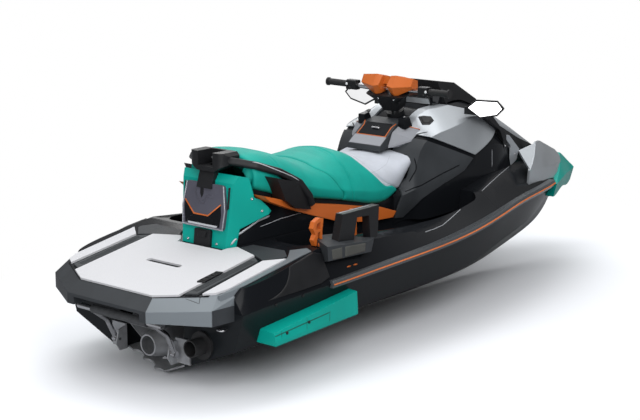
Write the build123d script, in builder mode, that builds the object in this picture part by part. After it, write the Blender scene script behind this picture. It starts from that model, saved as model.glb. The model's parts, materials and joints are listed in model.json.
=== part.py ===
"""Three-seat runabout personal watercraft, modelled piece by piece in millimetres.

X runs to the bow, Y to port and Z up. Heights are measured up from the keel line, and every finished piece is
lowered by DRAFT when it is written, so that the origin lies amidships on the centreline at the waterline.
"""
import os
from math import cos, radians, sin, tan

from build123d import *

os.makedirs("parts", exist_ok=True)

# ---------------------------------------------------------------- driving dimensions
DRAFT = 280                 # keel line to waterline
BOW_X = 1790                # foremost point
STERN_X = -1790             # aftmost point of the boarding platform
TRANSOM_X = -1530           # aft face of the hull
GAP = 5                     # clearance of moving pieces

# Lines of the hull and deck: x, keel z, chine (y, z), sheer (y, z), gunwale (y, z), inner deck edge (y,
# z), middle z
LINES = [
    (TRANSOM_X, 0, (495, 203), (548, 375), (500, 440), (470, 478), 482),
    (-1170, 0, (500, 213), (568, 400), (518, 568), (455, 545), 550),
    (-850, 0, (500, 222), (577, 413), (506, 545), (440, 560), 564),
    (-400, 0, (500, 232), (582, 430), (500, 517), (455, 530), 534),
    (0, 0, (495, 242), (577, 452), (472, 508), (425, 528), 530),
    (400, 2, (465, 290), (545, 500), (430, 590), (385, 606), 620),
    (750, 15, (410, 335), (480, 521), (335, 640), (285, 656), 675),
    (1090, 62, (305, 360), (388, 517), (250, 612), (200, 628), 645),
    (1350, 122, (195, 382), (278, 506), (170, 582), (125, 598), 610),
    (1560, 190, (110, 402), (180, 497), (104, 552), (70, 562), 568),
    (1700, 310, (48, 430), (92, 490), (52, 522), (34, 528), 530),
]

# Footwells either side of the saddle
WELL_AFT, WELL_FRONT = -1020, 330
WELL_INNER, WELL_OUTER = 235, 440
WELL_FLOOR = 385
WELL_SKIN = 30              # deck moulding left under the footwell floor

# Boarding platform: a plane that rises forward
PLATFORM_X, PLATFORM_Z = -1733, 439
PLATFORM_SLOPE = 9.6        # degrees
PLATFORM_EDGE_Y = 245       # half width of the aft edge
PLATFORM_CORNER = (-1650, 490)
BUMPER_WIDTH = 57
BUMPER_BOTTOM = 344
SLAB_THICK = 45
MAT_THICK = 9

# Jet pump
PUMP_Z = 147
PUMP_R = 95
PUMP_BORE = 78
PUMP_FRONT, PUMP_BACK = -1190, -1440
TUNNEL_HALF = 200
NOZZLE_END = -1554
NOZZLE_R = 48
BUCKET_X = -1462
BUCKET_R = 136
BUCKET_WALL = 8
BUCKET_HALF = 106

# Boarding step
STEP_X, STEP_Z = -1572, 148
STEP_Y = 184
STEP_BAR_X, STEP_BAR_Z = -1712, 316
STEP_BAR_HALF = 262
STEP_TUBE_R = 12
STEP_BAR_R = 13
SLEEVE_R = 19

# Steering column: tilted back by COLUMN_RAKE, through this point of the cowl top
COLUMN_X, COLUMN_Z = 190, 985
COLUMN_RAKE = 22
COLUMN_R = 20
COLUMN_DEPTH = 55
COLUMN_RUNNING = 0.5        # radial clearance of the column in its boss and the cowl
GRIP_HALF = 383
GRIP_X, GRIP_Z = 123, 1104
GRIP_R = 17

# Storage bin under the hood
BIN_AFT, BIN_FRONT = 790, 1250
BIN_HALF = 130
BIN_FLOOR = 470
BIN_WALL = 5
BIN_CORNER = 25

# Hood hinge, across the foremost edge of the hood
HINGE_X, HINGE_Z = 1472, 582
HINGE_R = 15
HINGE_HALF = 40
HINGE_RUNNING = 0.5         # radial clearance round the hinge knuckle

# Tow pylon: a mast that slides up out of its housing
MAST_X = -1118
MAST_R = 19
MAST_FOOT = 318
MAST_TOP = 880
MAST_RUNNING = 0.5          # radial clearance of the mast in its bore

# Saddle: pedestal under the seats
SADDLE_HALF = 235


def save(piece, name):
    """Lower a finished piece from the keel line to the waterline, name it and write it."""
    lowered = piece.moved(Location((0, 0, -DRAFT)))
    lowered.label = name
    export_step(lowered, f"parts/{name}.step")


def biggest(piece):
    """The largest solid of a piece, without the slivers that a cut leaves beside it."""
    return piece.solids().sort_by(SortBy.VOLUME)[-1]


def largest_pair(piece):
    """The two largest solids of a mirrored piece."""
    return Compound(children=piece.solids().sort_by(SortBy.VOLUME)[-2:])


def half_section(x, points, top_z, low_z):
    """Section for a loft: from (0, low_z) out through the points to (0, top_z), and mirrored back."""
    side = [(0, low_z)] + points + [(0, top_z)]
    other = [(-y, z) for y, z in reversed(points)]
    with BuildSketch(Plane.YZ.offset(x)) as face:
        with BuildLine():
            Polyline(*side, *other, close=True)
        make_face()
    return face.sketch


def bin_prism(wall, low, high):
    """Box of the storage bin with its outside grown by wall, from low to high."""
    with BuildPart() as prism:
        with BuildSketch(Plane.XY.offset(low)):
            with Locations(((BIN_AFT + BIN_FRONT) / 2, 0)):
                RectangleRounded(BIN_FRONT - BIN_AFT + 2 * wall, 2 * (BIN_HALF + wall), BIN_CORNER + wall)
        extrude(amount=high - low)
    return prism.part


def side_prism(points, reach=600, y=0):
    """Closed side-view outline, stretched to both sides of the centreline."""
    with BuildPart() as prism:
        with BuildSketch(Plane.XZ.offset(-y)):
            with BuildLine():
                Polyline(*points, close=True)
            make_face()
        extrude(amount=reach, both=True)
    return prism.part


def flank_plate(points, inner, outer):
    """Upright plates to port and starboard within a side-view outline, from inner to outer."""
    with BuildPart() as plate:
        with BuildSketch(Plane.XZ.offset(-inner)):
            with BuildLine():
                Polyline(*points, close=True)
            make_face()
        extrude(amount=inner - outer)
        mirror(about=Plane.XZ)
    return plate.part


def upright_rod(x, y, low, high, radius):
    """Round bar standing from low to high."""
    with BuildPart() as rod:
        with BuildSketch(Plane.XY.offset(low)):
            with Locations((x, y)):
                Circle(radius)
        extrude(amount=high - low)
    return rod.part


def cross_rod(x, z, radius, half):
    """Round bar across the centreline."""
    with BuildPart() as rod:
        with BuildSketch(Plane.XZ):
            with Locations((x, z)):
                Circle(radius)
        extrude(amount=half, both=True)
    return rod.part


column = Plane(origin=(COLUMN_X, 0, COLUMN_Z),
               x_dir=(cos(radians(COLUMN_RAKE)), 0, sin(radians(COLUMN_RAKE))),
               z_dir=(-sin(radians(COLUMN_RAKE)), 0, cos(radians(COLUMN_RAKE))))
hinge_room = cross_rod(HINGE_X, HINGE_Z, HINGE_R + HINGE_RUNNING, HINGE_HALF + 1)
mast_bore = upright_rod(MAST_X, 0, MAST_FOOT - GAP, 1000, MAST_R + MAST_RUNNING)


# ---------------------------------------------------------------- hull and deck mouldings
with BuildPart() as lines_body:
    for x, keel, chine, sheer, gunwale, inner, middle in LINES:
        add(half_section(x, [chine, sheer, gunwale, inner], middle, keel))
    loft()

with BuildPart() as deck_zone:
    with BuildSketch(Plane.XZ):
        with BuildLine():
            sheer_line = Spline([(row[0], row[3][1]) for row in LINES])
            Polyline(sheer_line @ 1, (BOW_X, LINES[-1][3][1]), (BOW_X, 1000), (STERN_X, 1000),
                     (STERN_X, LINES[0][3][1]), sheer_line @ 0)
        make_face()
    extrude(amount=700, both=True)
    with BuildSketch(Plane.XY.offset(WELL_FLOOR - WELL_SKIN)):
        with Locations(((WELL_AFT + WELL_FRONT) / 2, 0)):
            Rectangle(WELL_FRONT - WELL_AFT + 2 * WELL_SKIN, 2 * (WELL_OUTER + WELL_SKIN))
    extrude(amount=200)

# Plane of the boarding platform, its local x running forward
rise = radians(PLATFORM_SLOPE)
platform = Plane(origin=(PLATFORM_X, 0, PLATFORM_Z), x_dir=(cos(rise), 0, sin(rise)),
                 z_dir=(-sin(rise), 0, cos(rise)))


def platform_z(x):
    """Height of the platform plane at x."""
    return PLATFORM_Z + (x - PLATFORM_X) * tan(rise)


def platform_outline():
    """Plan outline of the boarding platform's bumper."""
    corner_x, corner_y = PLATFORM_CORNER
    with BuildSketch() as outline:
        with BuildLine():
            Polyline((STERN_X, PLATFORM_EDGE_Y), (corner_x, corner_y), (TRANSOM_X + 60, 505),
                     (TRANSOM_X + 60, -505), (corner_x, -corner_y), (STERN_X, -PLATFORM_EDGE_Y), close=True)
        make_face()
    return outline.sketch


with BuildPart() as above_platform:
    with BuildSketch(platform):
        with Locations((300, 0)):
            Rectangle(1400, 2 * 900)
    extrude(amount=400)

with BuildPart() as platform_slab:
    with BuildSketch(Plane.XY.offset(BUMPER_BOTTOM + 20)):
        add(platform_outline())
        offset(amount=-BUMPER_WIDTH, kind=Kind.INTERSECTION)
    extrude(amount=200)
    add(above_platform.part, mode=Mode.SUBTRACT)
    with BuildSketch(platform.offset(-SLAB_THICK)):
        with Locations((0, 0)):
            Rectangle(600, 1000)
    extrude(amount=-200, mode=Mode.SUBTRACT)

with BuildPart() as wells:
    with BuildSketch(Plane.XY.offset(WELL_FLOOR)):
        with Locations(((WELL_AFT + WELL_FRONT) / 2, (WELL_INNER + WELL_OUTER) / 2)):
            RectangleRounded(WELL_FRONT - WELL_AFT, WELL_OUTER - WELL_INNER, 60)
    extrude(amount=300)
    mirror(about=Plane.XZ)

# Room for the pump, the raised bucket and the intake ramp, cut up into the hull
with BuildPart() as pump_tunnel:
    with BuildSketch(Plane.XZ):
        with BuildLine():
            Polyline((TRANSOM_X - 10, -10), (TRANSOM_X - 10, 335), (-1310, 335), (-1240, 262),
                     (PUMP_FRONT, 262),
                     (PUMP_FRONT, -10), close=True)
        make_face()
    extrude(amount=TUNNEL_HALF, both=True)

INTAKE_AFT, INTAKE_FRONT = -1060, -700
INTAKE_HALF = 75
INTAKE_DEPTH = 60
SHAFT_R = 14
SHAFT_FRONT = -900

with BuildPart() as intake_duct:
    with BuildSketch(Plane.YZ.offset(PUMP_FRONT)):
        with Locations((0, PUMP_Z)):
            Circle(PUMP_BORE)
    with BuildSketch(Plane(origin=(-1040, 0, 105), x_dir=(0, 1, 0), z_dir=(0.94, 0, -0.34))):
        RectangleRounded(150, 150, 60)
    with BuildSketch(Plane(origin=(-880, 0, INTAKE_DEPTH - 20), x_dir=(0, 1, 0), z_dir=(0.5, 0, -0.866))):
        RectangleRounded(150, 220, 50)
    loft()
    with BuildSketch(Plane.XY.offset(-10)):
        with Locations(((INTAKE_AFT + INTAKE_FRONT) / 2, 0)):
            Rectangle(INTAKE_FRONT - INTAKE_AFT, 2 * INTAKE_HALF)
    extrude(amount=INTAKE_DEPTH + 10)
    with BuildSketch(Plane.YZ.offset(PUMP_FRONT)):
        with Locations((0, PUMP_Z)):
            Circle(SHAFT_R + 0.5)
    extrude(amount=SHAFT_FRONT + GAP - PUMP_FRONT)

with BuildPart() as hull:
    add(lines_body.part)
    add(deck_zone.part, mode=Mode.SUBTRACT)
    add(pump_tunnel.part, mode=Mode.SUBTRACT)
    add(intake_duct.part, mode=Mode.SUBTRACT)
    add(mast_bore, mode=Mode.SUBTRACT)
    add(bin_prism(BIN_WALL, BIN_FLOOR - BIN_WALL, 1100), mode=Mode.SUBTRACT)
save(hull.part, "hull")

with BuildPart() as deck:
    add(lines_body.part)
    add(deck_zone.part, mode=Mode.INTERSECT)
    add(platform_slab.part)
    add(above_platform.part, mode=Mode.SUBTRACT)
    add(wells.part, mode=Mode.SUBTRACT)
    add(bin_prism(BIN_WALL, BIN_FLOOR - BIN_WALL, 1100), mode=Mode.SUBTRACT)
    add(mast_bore, mode=Mode.SUBTRACT)
    add(hinge_room, mode=Mode.SUBTRACT)
# The footwell trays are mouldings of their own, let into the deck
TRAY_LIP = 30
with BuildPart() as tray_zone:
    with BuildSketch(Plane.XY.offset(WELL_FLOOR - WELL_SKIN - 1)):
        with Locations(((WELL_AFT + WELL_FRONT) / 2, (WELL_INNER - TRAY_LIP + 800) / 2)):
            Rectangle(WELL_FRONT - WELL_AFT + 2 * TRAY_LIP, 800 - WELL_INNER + TRAY_LIP)
    extrude(amount=400)
    mirror(about=Plane.XZ)

with BuildPart() as footwell_trays:
    add(deck.part)
    add(tray_zone.part, mode=Mode.INTERSECT)

with BuildPart() as deck_frame:
    add(deck.part)
    add(tray_zone.part, mode=Mode.SUBTRACT)
save(footwell_trays.part, "footwell_trays")
save(deck_frame.part, "deck")

# ---------------------------------------------------------------- saddle
# Seat sections: x, bottom (y, z), waist (y, z), shoulder (y, z), top z
SEAT = [
    (-1080, (190, 790), (195, 862), (135, 926), 941),
    (-990, (222, 762), (226, 850), (155, 926), 943),
    (-870, (246, 722), (252, 800), (172, 893), 919),
    (-700, (262, 694), (268, 752), (176, 832), 856),
    (-550, (270, 664), (275, 722), (176, 832), 864),
    (-420, (268, 634), (272, 700), (166, 836), 876),
    (-330, (260, 614), (264, 684), (172, 812), 850),
    (-200, (248, 602), (252, 678), (192, 776), 812),
    (-70, (232, 640), (238, 716), (196, 772), 812),
    (70, (214, 752), (218, 776), (200, 796), 822),
]
REAR_SEAT = SEAT[:4]
FRONT_SEAT = SEAT[3:7]
BOLSTER = SEAT[6:]


def seat_shape(sections):
    """Loft of a seat through its sections."""
    with BuildPart() as shape:
        for x, bottom, waist, shoulder, top in sections:
            add(half_section(x, [bottom, waist, shoulder], top, bottom[1] - 1))
        loft()
    return shape.part


seat_pieces = {"seat_rear": REAR_SEAT, "seat_front": FRONT_SEAT, "seat_bolster": BOLSTER}
seats = {name: seat_shape(sections) for name, sections in seat_pieces.items()}
for name, shape in seats.items():
    save(shape, name)

PEDESTAL_AFT = -1175        # aft face of the pedestal, inside the pylon housing

with BuildPart() as seat_pedestal:
    for x, half, foot, top in ((PEDESTAL_AFT, 116, 150, 690), (-1080, 175, 190, 800), (-870, 222, 205, 742),
                               (-550, 240, 212, 684), (-250, 232, 210, 622), (-60, 215, 205, 655)):
        add(half_section(x, [(foot, WELL_FLOOR), (half + 4, 600), (half, top)], top + 1, WELL_FLOOR - 1))
    loft()
    for shape in seats.values():
        add(shape, mode=Mode.SUBTRACT)
    add(deck.part, mode=Mode.SUBTRACT)
    add(mast_bore, mode=Mode.SUBTRACT)
save(biggest(seat_pedestal.part), "seat_pedestal")

# ---------------------------------------------------------------- front cowl
# Cowl sections: x, foot (y, z), flank (y, z), shoulder (y, z), crown (y, z), top z
COWL = [
    (-120, (238, 470), (240, 600), (214, 690), (120, 715), 718),
    (60, (262, 470), (268, 640), (250, 800), (130, 838), 842),
    (160, (282, 470), (302, 680), (270, 880), (140, 938), 944),
    (290, (302, 480), (334, 730), (286, 905), (156, 988), 994),
    (430, (325, 500), (338, 768), (276, 925), (160, 1000), 1012),
    (620, (345, 540), (328, 790), (240, 922), (140, 992), 1012),
    (820, (305, 560), (285, 730), (200, 862), (112, 926), 948),
    (1060, (236, 560), (212, 690), (152, 776), (82, 822), 840),
    (1300, (165, 545), (142, 630), (100, 684), (52, 708), 716),
    (1460, (112, 535), (92, 575), (66, 604), (32, 620), 626),
]


def cowl_shape(grow=0.0, first=0, last=len(COWL)):
    """The cowl's loft, its skin moved out by grow."""
    with BuildPart() as shape:
        for x, foot, flank, shoulder, crown, top in COWL[first:last]:
            add(half_section(x, [(foot[0] + grow, foot[1]), (flank[0] + grow, flank[1]),
                                 (shoulder[0] + grow, shoulder[1] + grow * 0.7),
                                 (crown[0] + grow * 0.5, crown[1] + grow)], top + grow, foot[1] - 1))
        loft()
    return shape.part


# The hood is what lies above this line, from behind the wind visor to the bow
HOOD_AFT, HOOD_AFT_Z = 700, 905
HOOD_FRONT, HOOD_FRONT_Z = 1462, 588
HOOD_SKIN = 12
HOOD_FRONT_HALF = 115       # half width of the room that the nose leaves around the hood's front end

cowl_full = cowl_shape()
hood_zone = side_prism([(HOOD_AFT, HOOD_AFT_Z), (HOOD_FRONT, HOOD_FRONT_Z),
                        (HOOD_FRONT + 200, HOOD_FRONT_Z),
                        (HOOD_FRONT + 200, 1200), (HOOD_AFT - 20, 1200)])


bin_outside = bin_prism(BIN_WALL, BIN_FLOOR - BIN_WALL, 1100)

with BuildPart() as front_cowl:
    add(cowl_full)
    add(hood_zone, mode=Mode.SUBTRACT)
    for shape in seats.values():
        add(shape, mode=Mode.SUBTRACT)
    add(deck.part, mode=Mode.SUBTRACT)
    add(bin_outside, mode=Mode.SUBTRACT)
    add(hinge_room, mode=Mode.SUBTRACT)
    add(seat_pedestal.part, mode=Mode.SUBTRACT)
    with BuildSketch(column.offset(-COLUMN_DEPTH - GAP)):
        Circle(COLUMN_R + COLUMN_RUNNING)
    extrude(amount=300, mode=Mode.SUBTRACT)
save(biggest(front_cowl.part), "front_cowl")

with BuildPart() as storage_bin:
    add(bin_outside)
    add(bin_prism(0, BIN_FLOOR, 1200), mode=Mode.SUBTRACT)
    add(hood_zone, mode=Mode.SUBTRACT)
save(storage_bin.part, "storage_bin")

with BuildPart() as hood:
    add(cowl_shape(0.0, 4))
    add(hood_zone, mode=Mode.INTERSECT)
    with Locations((0, 0, -HOOD_SKIN)):
        add(cowl_shape(-HOOD_SKIN, 4), mode=Mode.SUBTRACT)
    add(cross_rod(HINGE_X, HINGE_Z, HINGE_R, HINGE_HALF))
save(hood.part, "hood")

# ---------------------------------------------------------------- boarding platform
CREASE_AFT_Z = 392
CREASE_CORNER_Z = 411


def facet_plane(start, end, inner):
    """Plane through the two ends of a crease and a point further in, facing up."""
    start, end, inner = Vector(start), Vector(end), Vector(inner)
    normal = (end - start).cross(inner - start)
    if normal.Z < 0:
        normal = -normal
    return Plane(origin=start, x_dir=end - start, z_dir=normal)


def above(plane):
    """Stock on the upper side of a plane, to cut a facet with."""
    with BuildPart() as stock:
        with BuildSketch(plane):
            Rectangle(3000, 3000)
        extrude(amount=600)
    return stock.part


corner_x, corner_y = PLATFORM_CORNER
aft_crease = (STERN_X, PLATFORM_EDGE_Y, CREASE_AFT_Z)
corner_crease = (corner_x, corner_y, CREASE_CORNER_Z)
bumper_facets = [facet_plane((STERN_X, 0, CREASE_AFT_Z), aft_crease, (PLATFORM_X, 0, PLATFORM_Z))]
for side in (1, -1):
    start, end = ((x, side * y, z) for x, y, z in (aft_crease, corner_crease))
    bumper_facets.append(facet_plane(start, end, (-1674, side * 326, platform_z(-1674))))
    bumper_facets.append(facet_plane(end, (TRANSOM_X + 60, side * 505, 463),
                                     (-1530, side * 476, platform_z(-1530))))

with BuildPart() as platform_edge:
    with BuildSketch(Plane.XY.offset(BUMPER_BOTTOM)):
        add(platform_outline())
    extrude(amount=120)
    add(above_platform.part, mode=Mode.SUBTRACT)
    for facet in bumper_facets:
        add(above(facet), mode=Mode.SUBTRACT)
    with BuildSketch(Plane.XY.offset(BUMPER_BOTTOM)):
        with Locations((STERN_X + 40, 0)):
            Rectangle(130, 2 * 205)
    extrude(amount=34, mode=Mode.SUBTRACT)
    add(deck.part, mode=Mode.SUBTRACT)
    add(hull.part, mode=Mode.SUBTRACT)
    add(platform_slab.part, mode=Mode.SUBTRACT)

# The starboard corner of the platform edge is a separate moulding, above the dark foot of the side
SPLIT_AFT_Y, SPLIT_FRONT_Y = -247, -150
CORNER_FOOT_Z = 412
with BuildPart() as corner_zone:
    with BuildSketch(Plane.XY.offset(BUMPER_BOTTOM - 10)):
        with BuildLine():
            Polyline((STERN_X - 10, SPLIT_AFT_Y), (TRANSOM_X + 70, SPLIT_FRONT_Y), (TRANSOM_X + 70, -560),
                     (STERN_X - 10, -560), close=True)
        make_face()
    extrude(amount=200)
    with BuildSketch(Plane.XY.offset(BUMPER_BOTTOM - 20)):
        with Locations(((corner_x + TRANSOM_X + 80) / 2, -500)):
            Rectangle(TRANSOM_X + 80 - corner_x, 160)
    extrude(amount=CORNER_FOOT_Z - BUMPER_BOTTOM + 20, mode=Mode.SUBTRACT)


def on_platform(x):
    """Distance forward along the platform plane for a point at x."""
    return (x - PLATFORM_X) / cos(rise)


def platform_sheet(outline, thick, depth=0):
    """Sheet on the platform plane within a plan outline, from depth below it to thick above it."""
    with BuildPart() as sheet:
        with BuildSketch(platform.offset(-depth)):
            with BuildLine():
                Polyline(*[(on_platform(x), y) for x, y in outline], close=True)
            make_face()
        extrude(amount=thick + depth)
    return sheet.part


def both_sides(outline):
    """Half outline to port, carried round to starboard."""
    return outline + [(x, -y) for x, y in reversed(outline)]


BAND_THICK, BAND_DEPTH = 4, 30
BAND_OUTLINE = [(-1600, -476), (-1199, -476), (-1155, -463), (-1089, -416), (-1039, -471), (-1057, -512),
                (-1109, -507), (-1470, -505), (-1600, -484)]
MAT_OUTLINE = [(-1729, 222), (-1674, 324), (-1210, 318), (-1167, 178), (-1200, 146), (-1228, 138)]
PATCH_OUTLINE = [(-1622, 409), (-1592, 456), (-1540, 474), (-1180, 474), (-1242, 396)]
MAT_SLOT_X, MAT_SLOT_LONG, MAT_SLOT_WIDE = -1446, 210, 28
with BuildPart() as platform_mats:
    add(platform_sheet(both_sides(MAT_OUTLINE), MAT_THICK))
    with BuildSketch(platform.offset(-1)):
        with Locations((on_platform(MAT_SLOT_X), 0)):
            SlotOverall(MAT_SLOT_LONG, MAT_SLOT_WIDE, rotation=90)
    extrude(amount=MAT_THICK + 2, mode=Mode.SUBTRACT)
    add(platform_sheet(PATCH_OUTLINE, MAT_THICK))
    add(platform_sheet([(x, -y) for x, y in PATCH_OUTLINE], MAT_THICK))

RAIL_OUTLINE = [(-1650, 334), (-1628, 386), (-1252, 376), (-1222, 330)]
RAIL_THICK, RAIL_GROOVE, RAIL_GROOVE_DEEP = 7, 6, 3
RAIL_GROOVES = (346, 357, 368)
with BuildPart() as cleat_rails:
    add(platform_sheet(RAIL_OUTLINE, RAIL_THICK))
    for y in RAIL_GROOVES:
        with BuildSketch(platform.offset(RAIL_THICK - RAIL_GROOVE_DEEP)):
            with Locations((on_platform(-1437), y - 2)):
                Rectangle(360, RAIL_GROOVE)
        extrude(amount=20, mode=Mode.SUBTRACT)
    mirror(about=Plane.XZ)

PANEL_OUTLINE = [(-1163, 192), (-1206, 320), (-1236, 390), (-1173, 455), (-1152, 455), (-1107, 403),
                 (-1113, 222)]
with BuildPart() as deck_panels:
    add(platform_sheet(PANEL_OUTLINE, RAIL_THICK, 1))
    mirror(about=Plane.XZ)
    add(deck.part, mode=Mode.SUBTRACT)
    add(seat_pedestal.part, mode=Mode.SUBTRACT)

with BuildPart() as stern_corner:
    add(platform_edge.part)
    add(corner_zone.part, mode=Mode.INTERSECT)
    add(platform_sheet(BAND_OUTLINE, BAND_THICK, BAND_DEPTH))
    add(deck.part, mode=Mode.SUBTRACT)
    add(hull.part, mode=Mode.SUBTRACT)
    add(platform_slab.part, mode=Mode.SUBTRACT)
    add(platform_mats.part, mode=Mode.SUBTRACT)
    add(deck_panels.part, mode=Mode.SUBTRACT)

with BuildPart() as stern_bumper:
    add(platform_edge.part)
    add(corner_zone.part, mode=Mode.SUBTRACT)
    add(stern_corner.part, mode=Mode.SUBTRACT)
for name, piece in (("platform_mats", platform_mats), ("cleat_rails", cleat_rails),
                    ("deck_panels", deck_panels),
                    ("stern_corner", stern_corner), ("stern_bumper", stern_bumper)):
    save(piece.part, name)

# ---------------------------------------------------------------- rub rails
RAIL_OUT, RAIL_HALF = 20, 17
STRIPE_OUT, STRIPE_HALF = 5, 6
RAIL_AFT_X, RAIL_FRONT_X = -1000, 1110


def sheer_band(out, half_height, first_x, last_x, inward=30):
    """Band along the sheer on both sides, standing out from the mouldings."""
    stations = [row for row in LINES]
    with BuildPart() as band:
        for row in stations:
            y, z = row[3]
            with BuildSketch(Plane.YZ.offset(row[0])):
                with BuildLine():
                    Polyline((y - inward, z - half_height), (y + out * 0.6, z - half_height), (y + out, z),
                             (y + out * 0.6, z + half_height), (y - inward, z + half_height), close=True)
                make_face()
        loft()
        with BuildSketch(Plane.XZ):
            with Locations(((first_x + last_x) / 2, 400)):
                Rectangle(last_x - first_x, 1200)
        extrude(amount=900, both=True, mode=Mode.INTERSECT)
        mirror(about=Plane.XZ)
    return band.part


with BuildPart() as rub_rails:
    add(sheer_band(RAIL_OUT, RAIL_HALF, RAIL_AFT_X, RAIL_FRONT_X))
    add(hull.part, mode=Mode.SUBTRACT)
    add(deck.part, mode=Mode.SUBTRACT)

with BuildPart() as rub_stripes:
    add(sheer_band(RAIL_OUT + STRIPE_OUT, STRIPE_HALF, RAIL_AFT_X, RAIL_FRONT_X))
    add(rub_rails.part, mode=Mode.SUBTRACT)
    add(hull.part, mode=Mode.SUBTRACT)
    add(deck.part, mode=Mode.SUBTRACT)

# ---------------------------------------------------------------- sponsons
SPONSON_AFT, SPONSON_FRONT = -1400, -850
with BuildPart() as sponsons:
    for x, low, high, out_low, out_high in ((SPONSON_AFT, 226, 281, 612, 600),
                                            (SPONSON_FRONT, 246, 350, 606, 600)):
        with BuildSketch(Plane.YZ.offset(x)):
            with BuildLine():
                Polyline((-470, low), (-out_low, low), (-out_low, low + 18), (-out_high, high),
                         (-470, high + 12),
                         close=True)
            make_face()
    loft()
    mirror(about=Plane.XZ)
    add(hull.part, mode=Mode.SUBTRACT)
save(sponsons.part, "sponsons")
save(rub_rails.part, "rub_rails")
save(rub_stripes.part, "rub_stripes")

# ---------------------------------------------------------------- bow
NOSE_AFT_LOW, NOSE_AFT_HIGH = 1125, 1600
NOSE_RAKE_Z = (508, 590)
with BuildPart() as bow_bumper:
    for x, half, low, mid, high, top_half in ((1100, 412, 440, 512, 545, 380),
                                              (1350, 306, 432, 506, 588, 250),
                                              (1560, 206, 408, 486, 598, 140), (1700, 140, 385, 470, 536,
                                                                                104),
                                              (BOW_X, 106, 396, 474, 486, 92)):
        add(half_section(x, [(half - 22, low), (half, mid), (top_half, high)], high + 1, low - 1))
    loft()
    add(side_prism([(NOSE_AFT_LOW, 380), (NOSE_AFT_LOW, NOSE_RAKE_Z[0]), (NOSE_AFT_HIGH, NOSE_RAKE_Z[1]),
                    (NOSE_AFT_HIGH, 700), (1000, 700), (1000, 380)]), mode=Mode.SUBTRACT)
    add(hull.part, mode=Mode.SUBTRACT)
    add(deck.part, mode=Mode.SUBTRACT)
    add(cowl_shape(GAP), mode=Mode.SUBTRACT)
    add(rub_rails.part, mode=Mode.SUBTRACT)
    add(rub_stripes.part, mode=Mode.SUBTRACT)
    add(cross_rod(HINGE_X, HINGE_Z, HINGE_R + GAP, HINGE_HALF + GAP), mode=Mode.SUBTRACT)
    add(bin_outside, mode=Mode.SUBTRACT)
    add(side_prism([(1380, HOOD_FRONT_Z - GAP), (1380, 720), (HINGE_X + 30, 720),
                    (HINGE_X + 20, HOOD_FRONT_Z - GAP)],
                   HOOD_FRONT_HALF), mode=Mode.SUBTRACT)

FAIRING_WALL = 14
FAIRING_AFT = 800
# Crease where the fairing folds in towards the cowl: its foot, knee and top, and the inner corner of the
# fold
FOLD_KNEE, FOLD_TOP, FOLD_INNER = (804, 432, 634), (1020, 322, 742), (890, 300, 714)
with BuildPart() as bow_fairings:
    for x, foot, knee_point, top in ((FAIRING_AFT, (424, 500), (432, 634), (430, 742)),
                                     (1020, (392, 500), (366, 606), (322, 742)), (1300, (306, 500),
                                                                                  (280, 580), (172, 700)),
                                     (1560, (186, 500), (172, 560), (112, 610))):
        with BuildSketch(Plane.YZ.offset(x)):
            with BuildLine():
                Polyline(foot, knee_point, top, (top[0] - FAIRING_WALL, top[1]),
                         (knee_point[0] - FAIRING_WALL, knee_point[1]), (foot[0] - FAIRING_WALL,
                                                                         foot[1]), close=True)
            make_face()
    loft(ruled=True)
    add(side_prism([(700, FOLD_KNEE[2]), (FOLD_KNEE[0], FOLD_KNEE[2]), (FOLD_TOP[0], FOLD_TOP[2]),
                    (FOLD_TOP[0], 900), (700, 900)]), mode=Mode.SUBTRACT)
    fold = facet_plane(FOLD_KNEE, FOLD_TOP, FOLD_INNER)
    with BuildSketch(fold):
        with BuildLine():
            Polyline(*[fold.to_local_coords(Vector(*corner)) for corner in (FOLD_KNEE, FOLD_TOP,
                                                                            FOLD_INNER)], close=True)
        make_face()
    extrude(amount=-FAIRING_WALL)
    mirror(about=Plane.XZ)
    add(bow_bumper.part, mode=Mode.SUBTRACT)
    add(side_prism([(NOSE_AFT_LOW, 380), (NOSE_AFT_LOW, NOSE_RAKE_Z[0]), (NOSE_AFT_HIGH, NOSE_RAKE_Z[1]),
                    (NOSE_AFT_HIGH, 700), (1800, 700), (1800, 380)]), mode=Mode.SUBTRACT)
    add(deck.part, mode=Mode.SUBTRACT)
    add(hull.part, mode=Mode.SUBTRACT)
    add(cowl_shape(GAP), mode=Mode.SUBTRACT)
    add(rub_rails.part, mode=Mode.SUBTRACT)
save(biggest(bow_bumper.part), "bow_bumper")
save(largest_pair(bow_fairings.part), "bow_fairings")

# ---------------------------------------------------------------- cowl trim
PANEL_THICK = 8
COVER_THICK = 12
side_cover_outline = [(-30, 925), (20, 965), (75, 985), (230, 992), (400, 1002), (560, 960), (723, 861),
                      (409, 762),
                      (85, 898)]
knee_outline = [(20, 840), (75, 878), (400, 745), (330, 690), (190, 640), (60, 575), (-60, 500),
                (-120, 505),
                (-75, 640), (0, 760)]


def cowl_panel(outline, thick, centre_half=0, first=0, lower_pieces=True):
    """Panel of even thickness over the cowl's flanks, cut to a side-view outline."""
    with BuildPart() as panel:
        add(cowl_shape(thick, first))
        add(side_prism(outline), mode=Mode.INTERSECT)
        add(cowl_full, mode=Mode.SUBTRACT)
        if centre_half:
            with BuildSketch(Plane.XY):
                Rectangle(3000, 2 * centre_half)
            extrude(amount=1300, mode=Mode.SUBTRACT)
        if lower_pieces:
            for shape in seats.values():
                add(shape, mode=Mode.SUBTRACT)
            add(deck.part, mode=Mode.SUBTRACT)
            add(seat_pedestal.part, mode=Mode.SUBTRACT)
    return panel.part


side_covers = cowl_panel(side_cover_outline, COVER_THICK, 105, first=1, lower_pieces=False)
knee_panels = cowl_panel(knee_outline, PANEL_THICK, 105)
save(side_covers, "side_covers")
save(knee_panels, "knee_panels")

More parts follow.
